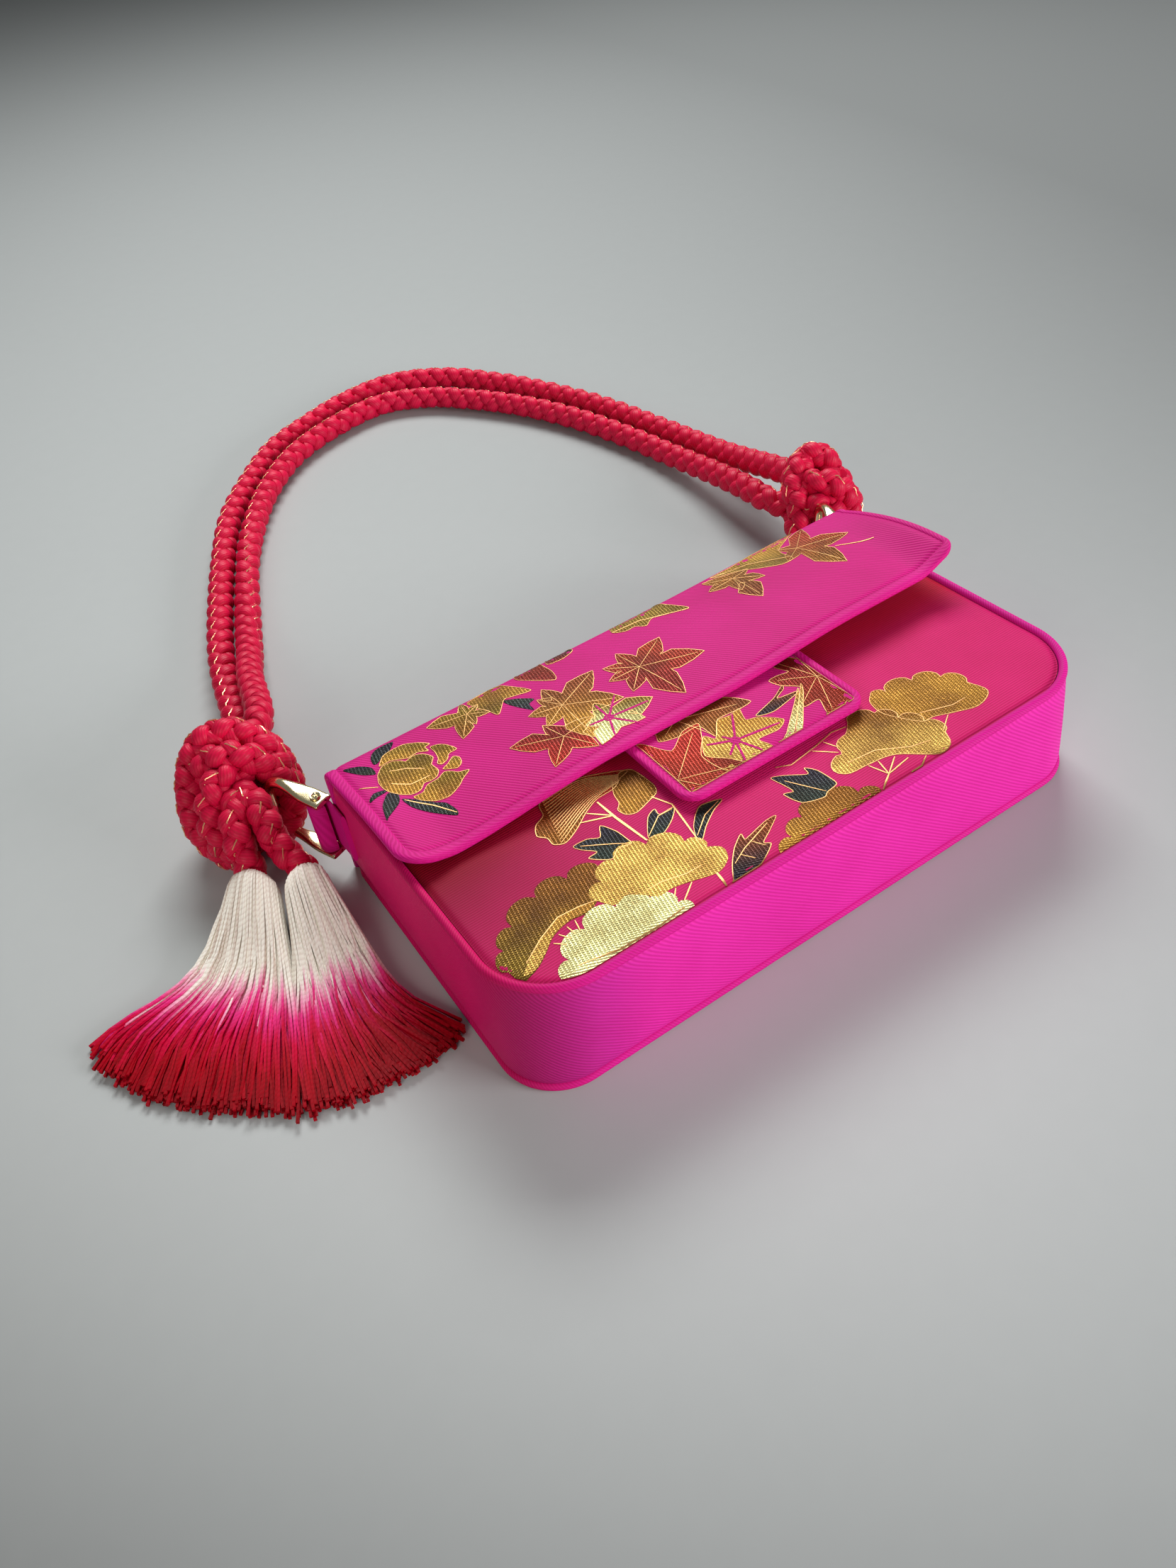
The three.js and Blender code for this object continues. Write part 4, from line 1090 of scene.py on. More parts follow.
tongue_4 = [
    (8.6, -4.9), (6.4, -11.5), (11, -13.5), (17.4, -20.5), (12.5, -23.5), (3.2, -22.8), (4.9, -27.9),
    (4.9, -31.4), (-3.6, -31.9), (-11.8, -31.9), (-16.8, -26.8), (-18.5, -16.5), (-11.4, -8.5),
    (-8.7, -12.5), (-2, -4.8), (3.6, -5.7)]
tongue_5 = [
    (-36, 7.4), (-30.8, 3.2), (-25.1, -6.9), (-15.6, -0.9), (-8.1, -1.1), (-11.9, -8.1), (-17.5, -17.3),
    (-11.3, -24), (-8.3, -30.3), (-16.6, -30.6), (-23.3, -29.9), (-22.9, -32.6), (-28.6, -33.5),
    (-34.1, -31.3), (-35.3, -27.7), (-35, -13.5), (-36.4, -2.2)]
in_tongue = (tongue_x - 39.2, tongue_x + 39.2, -28.5, 15)
tongue_shapes = [
    (tongue_3, BROWN_GOLD, BROWN),
    (tongue_2, NAVY, BROWN),
    (tongue_1, RED_BROWN, DARK_RED),
    (stem_1, PALE_GOLD, GOLD),
    (stem_2, PALE_GOLD, GOLD),
    (tongue_4, BRIGHT_GOLD, GOLD),
    (tongue_5, RED_BROWN, RED),
]
tongue_shapes = [(clipped(curved(points, 0.6), *in_tongue), a, b) for points, a, b in tongue_shapes]
tongue_lines = rings([shape[0] for shape in tongue_shapes])
tongue_hearts = [
    ((43.7, -9.5), [(48.9, 7.2), (37, 7.8), (29, -1), (28, -19), (34, -30), (50, -26), (50, -10)]),
    ((-13.3, 6.5), [(12.2, -3.2), (-25.5, 8.9), (-8, -10.8), (-22, 1.5)]),
    ((-32.6, -20.5), [(-11, -2.4), (-34.7, 6), (-10, -29), (-27, -34), (-34, -30.6)])]
for leaf in tongue_hearts:
    tongue_lines += veins(*leaf)
tongue_lines = [(clipped(points, *in_tongue), width) for points, width in tongue_lines]
t_veins = [
    (4.8, -5.3), (15.8, -21.1), (1, -28.4), (-7.6, -28.4), (-10.4, -22.9), (-13.9, -12.8), (-6.4, -12.9)]
bare_tongue = ribbon_form(open_veins((-3.7, -17.8), t_veins, 1.6, *in_tongue), tongue_face, 0.04)
fit(make("tongue_bare_veins", bare_tongue, flap_satin), "flap", "magenta_satin")
print_foil("tongue", "leaves", tongue_shapes, tongue_lines, tongue_face, "flap", "magenta_satin")

pine_1 = (
    [(55.4, -27), (61.1, -29.5), (73.4, -31), (82.9, -36.8), (87.7, -45.8)],
    [(89.7, -54.4), (81.2, -58.2), (71.4, -55), (62.8, -51.4), (59.9, -51.6), (54, -43.4), (51.3, -36.7),
     (52.8, -29.3)])
pine_2 = (
    [(38, -33.2), (49.4, -35.7), (54, -43.4), (59.6, -51.3), (60.8, -60.7)],
    [(57.9, -66.2), (53.2, -67.6), (49.3, -66.5), (38, -57.1), (27.5, -55), (18.9, -53.8), (16.2, -50.1),
     (17.8, -46.3), (22.6, -44), (25, -44.8), (26, -40.3), (29.3, -37.8), (33.3, -37.3)])
pine_3 = ([(-24.4, -69.4), (-17, -65), (-8, -59.9), (4.4, -57.9), (15.3, -63.3), (21.8, -69.2)], [(0, -70)])
leaf_4 = [
    (-3.3, -37.3), (1.4, -39.5), (8.2, -44.5), (9.4, -41.2), (12, -45.1), (12.8, -51), (12.5, -55.1),
    (7.3, -56.1), (4.4, -57.4), (-3.1, -54.4), (-5.4, -46.9), (-1.7, -48), (-2.1, -43.5)]
leaf_5 = [
    (-14.4, -53.3), (-18.8, -52.9), (-28.1, -55), (-30.2, -55.2), (-29.6, -52.3), (-35.7, -56.3),
    (-41.2, -62), (-45.5, -68.2), (-44.8, -69.2), (-38.3, -69.2), (-30.2, -66.3), (-24.5, -62.7),
    (-26.2, -60.6), (-20.7, -57.4)]
pine_6 = (
    [(-86.3, -44.8), (-80, -38.9), (-70.8, -33.3), (-57.8, -34.6), (-46.7, -42.3), (-42.2, -49.5)],
    [(-38.4, -52.8), (-39.8, -58), (-45.1, -61.2), (-47.9, -61.3), (-55.9, -58.9), (-63.3, -57),
     (-68.7, -57.2), (-71.7, -54.1), (-77.1, -49.6), (-82.2, -50.7)])
pine_7 = (
    [(-76.4, -33.1), (-88.3, -30), (-101.3, -30.2), (-114.6, -36), (-122.2, -43), (-125.6, -51.4)],
    [(-124, -57.6), (-117.9, -56.7), (-111.7, -52.8), (-106, -48.5), (-98, -46.4), (-91.1, -47.4),
     (-86, -45.1)])
pine_8 = (
    [(-112.8, -66.3), (-107.6, -60.2), (-96.2, -52.6), (-82.7, -51.5), (-71.4, -55.6), (-65.6, -63.5),
     (-62.8, -68.7)],
    [(-88, -69.6)])
rim_7 = [
    (-122.5, -56), (-116, -50.5), (-109.7, -46.5), (-100.4, -42.8), (-92.5, -43.2), (-86.5, -44.4),
    (-91.1, -47), (-98, -46.2), (-106, -48.3), (-111.7, -52.6), (-117.9, -56.4)]
fan_9 = [
    (-40.4, 1.7), (-56.6, 10), (-70.5, 10.2), (-75.8, 7.6), (-77.6, 2), (-82.6, -0.8), (-85.1, -5.5),
    (-82.8, -8.9), (-82.8, -13), (-78.9, -15.1), (-72.5, -12.3), (-64.3, -6.9), (-57.7, -4),
    (-49.8, -3.5), (-44.8, -0.5)]
heart_10 = [
    (-51.7, -6.3), (-48.8, -1.4), (-42.8, 2.3), (-38.6, 0.1), (-37.5, -11.4), (-39.3, -15.8),
    (-43.9, -17.5), (-50.8, -19.4), (-54.3, -17.7), (-55.3, -14), (-52.8, -11.1)]
green_1 = [
    (-78, -18.5), (-72.3, -18.7), (-68.1, -21), (-64.8, -16.3), (-62, -22.2), (-61.3, -27.6),
    (-61.4, -30.8), (-66.5, -29.8), (-71.1, -32.5), (-77.1, -27), (-73, -26.2), (-76.9, -21.5)]
green_2 = [
    (-55.1, -32.2), (-49.3, -24.2), (-45, -22.3), (-45.2, -25.7), (-39, -26.1), (-43.4, -30.7),
    (-49.7, -34.2), (-53.4, -33)]
green_3 = [
    (-39.5, -38.3), (-35, -33.8), (-31, -31.7), (-23.4, -34.1), (-29.3, -36.8), (-36.1, -41.2),
    (-41.7, -45.9), (-42.1, -42.9)]
panel_shapes = [
    (curved(fan_9), BROWN_GOLD, RED),
    (curved(heart_10), GOLD, BROWN_GOLD),
    (curved(green_1), GREEN, NAVY),
    (curved(green_2), GREEN, NAVY),
    (curved(green_3), NAVY, GREEN),
    (cloud(*pine_1), GOLD, GOLD),
    (cloud(*pine_7), OLIVE_GOLD, BROWN_GOLD),
    (cloud(*pine_3), GOLD, BROWN_GOLD),
    (curved(leaf_4), GREEN, NAVY),
    (curved(leaf_5), NAVY, BROWN),
    (cloud(*pine_2), BRIGHT_GOLD, BROWN_GOLD),
    (cloud(*pine_8), PALE_GOLD, PALE_GOLD),
    (cloud(*pine_6), BRIGHT_GOLD, BRIGHT_GOLD),
    (curved(rim_7), BRIGHT_GOLD, GOLD),
]


def front_surface(x, y, lift):
    """The front panel's face: its fall at the crease and its slow ripple, as its own grid has them."""
    fall = edge_fall(x, y, 1, crease_inset, front_edge, front_reach)
    height = (front_face - fall + ripple(x, y, front_wave)) * depth_at(y) / base_depth
    return np.stack([x + 0 * y, y + 0 * x, height + lift], axis=-1)


def on_panel(points):
    """The outline held 0.7 mm inside the front panel's crease."""
    low = 0.7 + crease_inset - 72
    y = np.clip(points[:, 1], low, 70)
    reach = half_width(y, 1, crease_inset + 0.7)
    return np.column_stack([np.clip(points[:, 0], -reach, reach), y])


panel_shapes = [(on_panel(points), a, b) for points, a, b in panel_shapes]
panel_lines = rings([shape[0] for shape in panel_shapes[:6] + panel_shapes[8:11]], 0.34)
panel_strokes = [
    ([(61.8, -46.9), (74, -51.6), (80.5, -51.7)], 0.6),
    ([(22.9, -49.5), (34.9, -51), (45.9, -58.2), (53.7, -60.4)], 0.6),
    ([(1.8, -34), (7.1, -36.8), (20.1, -35), (30, -33), (36.1, -34.2)], 0.6),
    ([(17.7, -36.2), (24.3, -43.1)], 0.6), ([(24, -35.1), (26, -40.3)], 0.6),
    ([(29.9, -63.5), (27.4, -55.5)], 0.7), ([(29.9, -63.5), (31.7, -56.1)], 0.7),
    ([(29.9, -63.5), (37.8, -58.2)], 0.7), ([(29.9, -63.5), (41, -61.8)], 0.7),
    ([(29.9, -63.5), (23.2, -69.6)], 0.9), ([(46.5, -65.3), (42.1, -67.9), (37, -69.8)], 0.7),
    ([(68.6, -54.5), (61, -59.6)], 0.6), ([(-0.5, -41.7), (7.1, -55.4)], 0.5),
    ([(-70.3, -52.2), (-64.3, -52.4), (-55.5, -54.9), (-49.3, -55.1)], 0.6),
    ([(-119.1, -52.3), (-109.7, -46.5), (-100.4, -42.5), (-92.5, -43.2), (-86.5, -44.6)], 0.6),
    ([(-106.4, -64), (-92, -67), (-75.3, -67.2), (-65.1, -66.3)], 0.7),
    ([(-107.7, -51.1), (-104.5, -54.3)], 0.6), ([(-104.3, -49), (-102, -53)], 0.6),
    ([(-100.3, -48), (-99.8, -52.3)], 0.6), ([(-96.7, -47.4), (-97.8, -52.4)], 0.6),
    ([(-56.4, -59.1), (-63.5, -64.2)], 0.7), ([(-62.3, -57.8), (-65.5, -61.3)], 0.6),
    ([(-47.4, -61.2), (-48.3, -69.1)], 1.2), ([(-58.6, -5.4), (-58.1, -16.5), (-56.3, -33.2)], 1.3),
    ([(-64.9, -7.8), (-58, -15.2)], 0.8), ([(-69.3, -10.3), (-58, -15.2)], 0.8),
    ([(-42, -16.3), (-38.6, -24.4), (-42.4, -43.9)], 0.9), ([(-40, -62), (-33, -58.5), (-19, -54)], 0.5),
    ([(-36, -59.7), (-33, -64.5)], 0.45), ([(-29, -57.4), (-26.5, -62)], 0.45),
    ([(-76, -20), (-66, -27), (-61.6, -30.5)], 0.5), ([(-54.6, -32), (-46, -26), (-40, -26.3)], 0.5),
    ([(-41.5, -43), (-33, -36.5), (-25, -34)], 0.5)]
for line, width in panel_strokes:
    panel_lines.append((np.array(line, float), width * 0.75))
for k in range(15):
    share = k / 14
    start = mix(np.array([-44.0, 1.6]), np.array([-46.5, -1.6]), share)
    middle = mix(np.array([-57.5, 9.0]), np.array([-59.0, -3.6]), share)
    end = mix(np.array([-74.0, 8.2]), np.array([-80.0, -14.0]), share)
    panel_lines.append((smooth_path([start, middle, end], 20), 0.36))
panel_lines = [(on_panel(points), width) for points, width in panel_lines]
print_foil("front", "clouds", panel_shapes, panel_lines, front_surface, "bag", "rose_satin")

# Fabric tabs. A folded ribbon of satin at each end of the mouth: it is sewn flat on the gusset, goes
# round the shackle's pin and comes back on itself.
pin_x = 137
pin_y = 78
pin_z = 26.25
tab_width = 25


def tab_form(sign):
    """A ribbon 2.1 mm thick: its path climbs the gusset, rounds the pin and ends against its own leg."""
    turn = np.radians(np.linspace(0, 290, 24))
    loop = np.column_stack([3.55 * np.cos(turn), 3.55 * np.sin(turn)])
    leg = np.array([(4.1, -14.2), (4.1, -11), (4.05, -7), (3.9, -3)])
    line = smooth_path(np.vstack([leg, loop]), 60)
    path = np.column_stack([line[:, 0] * -sign, line[:, 1], np.zeros(60)])
    way = directions(path)
    turn = full_turn(32)
    thick = 1.05 * squared(np.sin(turn), 0.7)
    across = tab_width / 2 * squared(np.cos(turn), 0.22)
    normal = np.column_stack([-way[:, 1], way[:, 0], np.zeros(60)])
    rings_of_points = (path[:, None] + normal[:, None] * thick[None, :, None]
                       + np.array([0, 0, 1.0]) * across[None, :, None])
    return tube(rings_of_points + np.array([sign * pin_x, pin_y, pin_z]), 2 * tab_width)


def span(piece, first, second, start, end, slot, node):
    """Bakes a piece's place into its points and lets it stand for a solid. The two bodies and the two places
    are not used.
    """
    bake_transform(piece)
    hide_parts(node)


for side_name, sign in (("left", -1), ("right", 1)):
    tab = make(f"{side_name}_ribbon_tab", tab_form(sign), rim_satin)
    span(tab, "bag", "handle", (0, 0.068, 0.02625), (0, 0.0765, 0.02625), "magenta_satin", f"{side_name}_tab")

# Screw shackles. A polished pale gold bow: two flat blades with square ends take the pin, taper away
# from it and turn into the bar that the cord is knotted round. Ring-headed screws hold the pin.
gilt = Finish("pale gold plate", {"Metallic": 1.0, "Specular Tint": (1.0, 0.95, 0.82, 1.0)})
plate_grain = gilt.noise(0.004, 3.0)
plate_scuff = gilt.noise(0.0005, 2.0)
gilt.surface(gilt.blend(plate_grain, srgb(226, 206, 150), srgb(248, 236, 196)), plate_scuff, 0.000004,
             Roughness=plate_grain * 0.1 + plate_scuff * 0.06 + 0.08)
splay = math.radians(22)
ear_middle = 14.1


def placed(points, sign):
    """From the shackle's own frame, pin at its origin, to its place on the bag."""
    turn = -sign * splay
    spin = np.array([[math.cos(turn), -math.sin(turn), 0], [math.sin(turn), math.cos(turn), 0], [0, 0, 1]])
    return points @ spin.T + np.array([sign * pin_x, pin_y, pin_z])


def shackle_form(sign):
    """A superellipse section (power 4 on the blades, 2 on the bow) along a rounded square bow."""
    arm = np.column_stack([np.zeros(40), np.linspace(-4.2, 16, 40), np.full(40, ear_middle)])
    turn = np.linspace(np.pi / 2, -np.pi / 2, 61)[1:-1]
    bow = np.column_stack([np.zeros(59), 16 + 13.6 * np.abs(np.cos(turn)) ** 0.8,
                           ear_middle * squared(np.sin(turn), 0.8)])
    path = np.vstack([arm, bow, (arm * [1, 1, -1])[::-1]])
    tips = np.array([[0, -4.201, ear_middle], [0, -4.2005, -ear_middle]])
    path = np.vstack([tips[:1], path, tips[1:]])
    blade = 1 - rise(3, 21, path[:, 1])
    ends = np.ones(len(path))
    ends[[0, -1]] = 0.02
    ends[[1, -2]] = 0.72
    ends[[2, -3]] = 0.96
    wide = mix(2.1, 4.2, blade) * (0.86 + 0.14 * ends) * np.where(ends < 0.1, 0.02, 1)
    thick = mix(2.1, 1.3, rise(0, 1, blade)) * ends
    way = directions(path)
    normal = np.column_stack([np.zeros(len(way)), -way[:, 2], way[:, 1]])
    angle = full_turn(28)
    power = mix(0.85, 0.42, blade)[:, None]
    across = squared(np.cos(angle), power) * wide[:, None]
    off = squared(np.sin(angle), power) * thick[:, None]
    rings_of_points = (path[:, None] + np.array([1.0, 0, 0]) * across[..., None]
                       + normal[:, None] * off[..., None])
    return tube(placed(rings_of_points, sign), 20)


def screw_form(sign):
    """A pin of radius 2 with a flush head on both ends: a groove round a raised ring round a dot."""
    head = [(0.04, 16.25), (0.45, 16.25), (0.6, 16.0), (1.0, 15.8), (1.35, 16.0), (1.55, 16.3), (1.9, 16.35),
            (2.2, 16.15), (2.3, 15.6), (2.0, 15.3)]
    profile = np.array([(r, -h) for r, h in head] + [(r, h) for r, h in reversed(head)])
    turn = full_turn(32)
    x = profile[:, :1] * np.cos(turn)
    y = profile[:, :1] * np.sin(turn)
    return tube(placed(np.stack([x, y, profile[:, 1:] + 0 * x], axis=-1), sign), 6)


for side_name, sign in (("left", -1), ("right", 1)):
    link = f"{side_name}_link"
    fit(make(f"{side_name}_bow", shackle_form(sign), gilt, crisp=28), link, "gilt", f"{side_name}_shackle")
    fit(make(f"{side_name}_screw", screw_form(sign), gilt, crisp=24), link, "gilt", f"{side_name}_pin")

# Cord handle. One long round braid of four fat strands in glossy rose-red thread, each with a thin
# gold filament at its edge. It lies doubled, as two runs side by side, from one knot to the other.
braid = Finish("rose braid", {"Sheen Weight": 0.05, "Sheen Roughness": 0.35, "Sheen Tint": srgb(255, 60, 120),
                              "Specular IOR Level": 0.2})
braid_round = braid.pattern()[1]
strand_phase = (braid_round + braid.noise(0.004) * 0.5) * (2 * math.pi * 1.35)
strand_lines = strand_phase.sine() * 0.5 + 0.5
braid_patch = braid.noise(0.008, 3.0)
braid_fuzz = braid.noise(0.0005, 2.0)
braid.surface(braid.blend(strand_lines * 0.3 + braid_patch * 0.55 + braid_fuzz * 0.3 - 0.05, srgb(170, 4, 38),
                          srgb(226, 16, 74)), strand_lines * 0.5 + braid_fuzz * 0.5, 0.00011,
              Roughness=0.52 - strand_lines * 0.1)
filament = Finish("gold filament", {"Metallic": 0.7})
filament_grain = filament.noise(0.0008, 2.0)
filament_gold = filament.blend(filament_grain, srgb(224, 130, 96), srgb(255, 222, 170))
filament.surface(filament_gold, filament_grain, 0.00003, Roughness=filament_grain * 0.2 + 0.25)

strand_offset = 3.1
strand_swing = 1.15


def carried(path, normal):
    """A unit direction across the path, carried along it without twist."""
    normals = []
    for tangent in directions(path):
        normal = normal - tangent * (normal @ tangent)
        normal = normal / np.linalg.norm(normal)
        normals.append(normal)
    return np.array(normals)


def braid_forms(path, up, lead, roll, size=1.0, begin=0.0):
    """A round braid of four strands along an even path. Two strands turn left and two right, once in
    each lead: angle = +-2 pi run / lead + k pi. Each swings out and widens where it passes over, as
    cos 2a, and in where it passes under. The gold filament zigzags in one valley between the strands and
    comes up to the surface once in each half lead. Returns the strands and the filament."""
    run = run_along(path) + begin
    way = directions(path)
    across = np.cross(way, up)
    turn = np.radians(roll)
    strands = []
    ring = full_turn(12)
    for turning in (1, -1):
        for k in (0, 1):
            angle = turning * 2 * np.pi * run / lead + k * np.pi
            over = turning * np.cos(2 * angle)
            reach = size * (strand_offset + strand_swing * over)
            seen = angle + turn
            out = np.cos(seen)[:, None] * up + np.sin(seen)[:, None] * across
            centre = path + reach[:, None] * out
            forward = directions(centre)
            side = unit(np.cross(forward, out))
            face = np.cross(side, forward)
            wide = size * (3.4 + 0.6 * over)[:, None, None]
            thick = size * (2.4 + 0.42 * over)[:, None, None]
            bend = squared(np.sin(ring), 0.85)
            section = side[:, None] * np.cos(ring)[:, None] * wide + face[:, None] * bend[:, None] * thick
            strands.append(tube(centre[:, None] + section, 12.0))
    zigzag = np.arcsin(0.96 * np.sin(4 * np.pi * run / lead + 0.6)) * 0.2
    seen = turn - np.pi / 4 + zigzag
    out = np.cos(seen)[:, None] * up + np.sin(seen)[:, None] * across
    peep = rise(-0.2, 0.6, np.sin(4 * np.pi * run / lead + 2.2))
    lie = path + out * (size * (4.6 + 1.35 * peep + 0.8 * np.abs(zigzag) / 0.3))[:, None]
    thin = full_turn(5)
    rod = out[:, None] * np.cos(thin)[:, None] + np.cross(way, out)[:, None] * np.sin(thin)[:, None]
    return join(strands), tube(lie[:, None] + rod * 0.33)


lift_braid = 0.3
braid_lead = 22.0
braid_step = 1.22
outer_route = [
    (-153, 136, 22), (-145.5, 152, 20), (-138.5, 170, 17), (-134, 190, 13.5), (-129, 213, 10),
    (-121.5, 240, 7.6), (-110.7, 268.6, 6.9), (-88.1, 319.5, 6.9), (-66.6, 360.1, 6.9),
    (-41.6, 390.2, 6.9), (-12.9, 417.2, 6.9), (17.9, 430.9, 6.9), (47.5, 439.8, 6.9), (81.9, 439.7, 6.9),
    (111.4, 419.9, 6.9), (130.7, 389.8, 6.9), (139.9, 371.8, 6.9), (158.8, 320.4, 6.9), (169, 262.8, 8),
    (170.5, 235, 10.5), (169.5, 205, 15.5), (167, 180, 22), (163.5, 158, 29), (161, 143, 33),
    (158, 130, 34)]
inner_route = [
    (-146, 126, 36), (-138, 137, 37), (-132, 150, 34), (-126.5, 172, 27), (-121, 196, 20),
    (-111, 226, 11), (-99.5, 258.3, 6.9), (-77.6, 309.5, 6.9), (-59.3, 343, 6.9), (-37, 373.6, 6.9),
    (-7.7, 400.1, 6.9), (23.2, 414, 6.9), (62.2, 419.2, 6.9), (89.1, 404.7, 6.9), (105.8, 384.6, 6.9),
    (126.3, 350.2, 6.9), (141.5, 310.5, 6.9), (151.1, 266, 7.2), (153.5, 240, 8.5), (153.8, 212, 12),
    (151.8, 185, 17), (148.5, 160, 22), (146.5, 145, 24), (149, 130, 24)]


def line_length(path):
    """The length of a path: the sum of its steps."""
    return float(np.linalg.norm(np.diff(path, axis=0), axis=1).sum())


knot_bends = {"left": ((-0.128, 0.19, 0.02), (-0.146, 0.14, 0.027)),
              "right": ((0.160, 0.19, 0.02), (0.157, 0.14, 0.027))}


def lay_run(name, route, node, rolls):
    """One run of the handle, in two halves that meet in the middle, which stand for the run's solid."""
    raised = np.array(route, float) + np.array([0, 0, lift_braid])
    count = int(round(line_length(smooth_path(raised, 600)) / braid_step))
    whole = smooth_path(raised, count)
    middle = count // 2
    normals = carried(whole, np.array([0.0, 0.0, 1.0]))
    roll = np.interp(np.linspace(0, 1, count), *rolls)
    distance = run_along(whole)
    for side_name, part in (("left", slice(0, middle + 1)), ("right", slice(middle, count))):
        path = whole[part]
        strands, filament_form = braid_forms(path, normals[part], braid_lead, roll[part],
                                             begin=distance[part][0])
        cord = make(f"{name}_{side_name}_braid", strands, braid)
        thread = make(f"{name}_{side_name}_filament", filament_form, filament)
        near = path[0] if side_name == "left" else path[-1]
        for piece in (cord, thread):
            span(piece, "handle", f"{side_name}_link", *knot_bends[side_name], "braided_cord", node)
        tuple(near / 1000)


lay_run("outer_run", outer_route, "strap_outer_run", ((0, 0.3, 1), (31, 22, 30)))
lay_run("inner_run", inner_route, "strap_inner_run", ((0, 0.12, 0.36, 1), (146, 146, 12, 20)))

# Knots. Each end of the handle is knotted round its shackle's bar: a fat turban of several wraps of
# the same braid at the left, and a smaller one at the right.
left_heart = np.array([-155.0, 114, 27])
right_heart = np.array([159.0, 117, 29])
lowest_turn = 7.6
wrap_lead = 17
wrap_roll = 45
wrap_step = 0.9


def seen_from_camera(points, heart):
    """Points (right, up, nearer) as the photograph shows them: right and up in the plane through the
    knot's heart, then nearer along the line of sight to the eye."""
    points = np.array(points, float)
    plane = heart + points[:, :1] * rightward + points[:, 1:2] * upward
    return plane + points[:, 2:] * (eye - plane) / ((plane - eye) @ onward)[:, None]


def wrap_forms(points, heart, size):
    """One wrap of the knot's braid; the same valley faces out from the knot's heart all along it."""
    rough = smooth_path(seen_from_camera(points, heart), 300)
    path = smooth_path(seen_from_camera(points, heart), max(12, int(round(line_length(rough) / wrap_step))))
    path[:, 2] = np.maximum(path[:, 2], lowest_turn)
    way = directions(path)
    out = path - heart + 3 * (eye - heart) / np.linalg.norm(eye - heart)
    out = unit(out - (out * way).sum(axis=1, keepdims=True) * way)
    return braid_forms(path, out, wrap_lead, np.full(len(path), float(wrap_roll)), size)


left_wraps = [
    [(15.5, 3, -6), (14.5, 8, -3), (12, 13.5, 0), (8, 18.5, 2), (3.5, 22.5, 2.5), (-2, 25, 2.5),
     (-9, 26, 3), (-16, 24, 3.5), (-21, 19, 4), (-23.2, 12.5, 4.5), (-24, 6, 5), (-23.6, -1, 5.5),
     (-22.6, -7, 6), (-20, -13.5, 7), (-15.5, -19, 7.5), (-9.5, -23.5, 6), (-3, -26, 2), (3, -26, -4)],
    [(19, -1, -3), (15.5, 5, 0), (12, 8.6, 3), (8.5, 11.4, 5.5), (4, 14, 8.5), (-0.4, 15.4, 11),
     (-6, 16, 12.5), (-12, 15.3, 12), (-17, 12.6, 9), (-20, 8.5, 5)],
    [(-1, 7, 4), (-5, 9, 10), (-9.5, 8, 14), (-13.4, 3.5, 16), (-15.2, -3.2, 16.5), (-14.8, -10.3, 16),
     (-12.2, -16.9, 14), (-8, -22, 10), (-3, -25, 4)],
    [(-2, -1, 9), (-4.5, -3, 16), (-5.6, -8, 20), (-5.2, -13, 21.5), (-4.2, -18, 21), (-2.6, -23, 20)],
    [(-5, 0, 4), (-3, 0.8, 11), (0.4, -0.8, 16), (3.4, -3.6, 18.6), (5.8, -7.6, 20), (8.2, -12.6, 20.5),
     (11.1, -18.4, 20.5)],
    [(3, 23, -9), (9, 19.5, -7), (14, 13, -6), (17.5, 5.5, -5), (18.8, -2, -5), (17.5, -9, -5),
     (13.5, -15.5, -4), (8, -20, -3)],
    [(-18, 10, -6), (-20, 0, -9), (-17, -11, -8), (-9, -18, -8), (0, -20, -9), (9, -14, -12),
     (13, -4, -14), (11, 8, -14), (3, 17, -12), (-8, 18, -10), (-16, 12, -8)],
    [(-14, 6, -14), (-15, -5, -16), (-8, -13, -17), (2, -13, -18), (8, -4, -18), (5, 7, -18),
     (-4, 11, -17), (-12, 8, -15)],
    [(-8, 2, -19), (-4, -5, -20), (2, 0, -20), (-2, 5, -19), (-8, 4, -17)]]
right_wraps = [
    [(-5, 22, -2), (-9, 19, 3), (-12, 12.8, 5), (-12.6, 6, 6), (-10.5, 0, 7), (-9.5, -6, 6),
     (-11, -12, 3), (-8, -17, -3)],
    [(-10, 18, -1), (-6, 22.5, 2), (0, 23, 3), (5, 18.5, 3), (7, 12.5, 0)],
    [(-6, 8, 5), (-1, 10, 11), (5.5, 9, 13), (11.5, 5, 10), (15, 0, 5), (15.5, -6, 0)],
    [(-4, -2, 7), (2, -2.5, 11), (7, -5, 8), (10, -9, 3)],
    [(-10, 12, -8), (-14, 3, -7), (-12, -7, -8), (-4, -15, -8), (6, -14, -9), (13, -6, -10), (13, 5, -11),
     (6, 14, -11), (-4, 17, -10)],
    [(-7, 8, -14), (-9, -2, -14), (-3, -10, -15), (6, -8, -15), (9, 1, -16), (3, 9, -15), (-5, 9, -14)],
    [(-3, 3, -17), (0, -4, -17), (5, 1, -17), (0, 5, -16)]]
for side_name, heart, wraps in (("left", left_heart, left_wraps), ("right", right_heart, right_wraps)):
    forms = [wrap_forms(points, heart, 0.98) for points in wraps]
    knot = make(f"{side_name}_cord_knot", join([strands for strands, thread in forms]), braid)
    thread = make(f"{side_name}_knot_filament", join([thread for strands, thread in forms]), filament)
    for piece in (knot, thread):
        fit(piece, f"{side_name}_link", "braided_cord", f"{side_name}_knot")

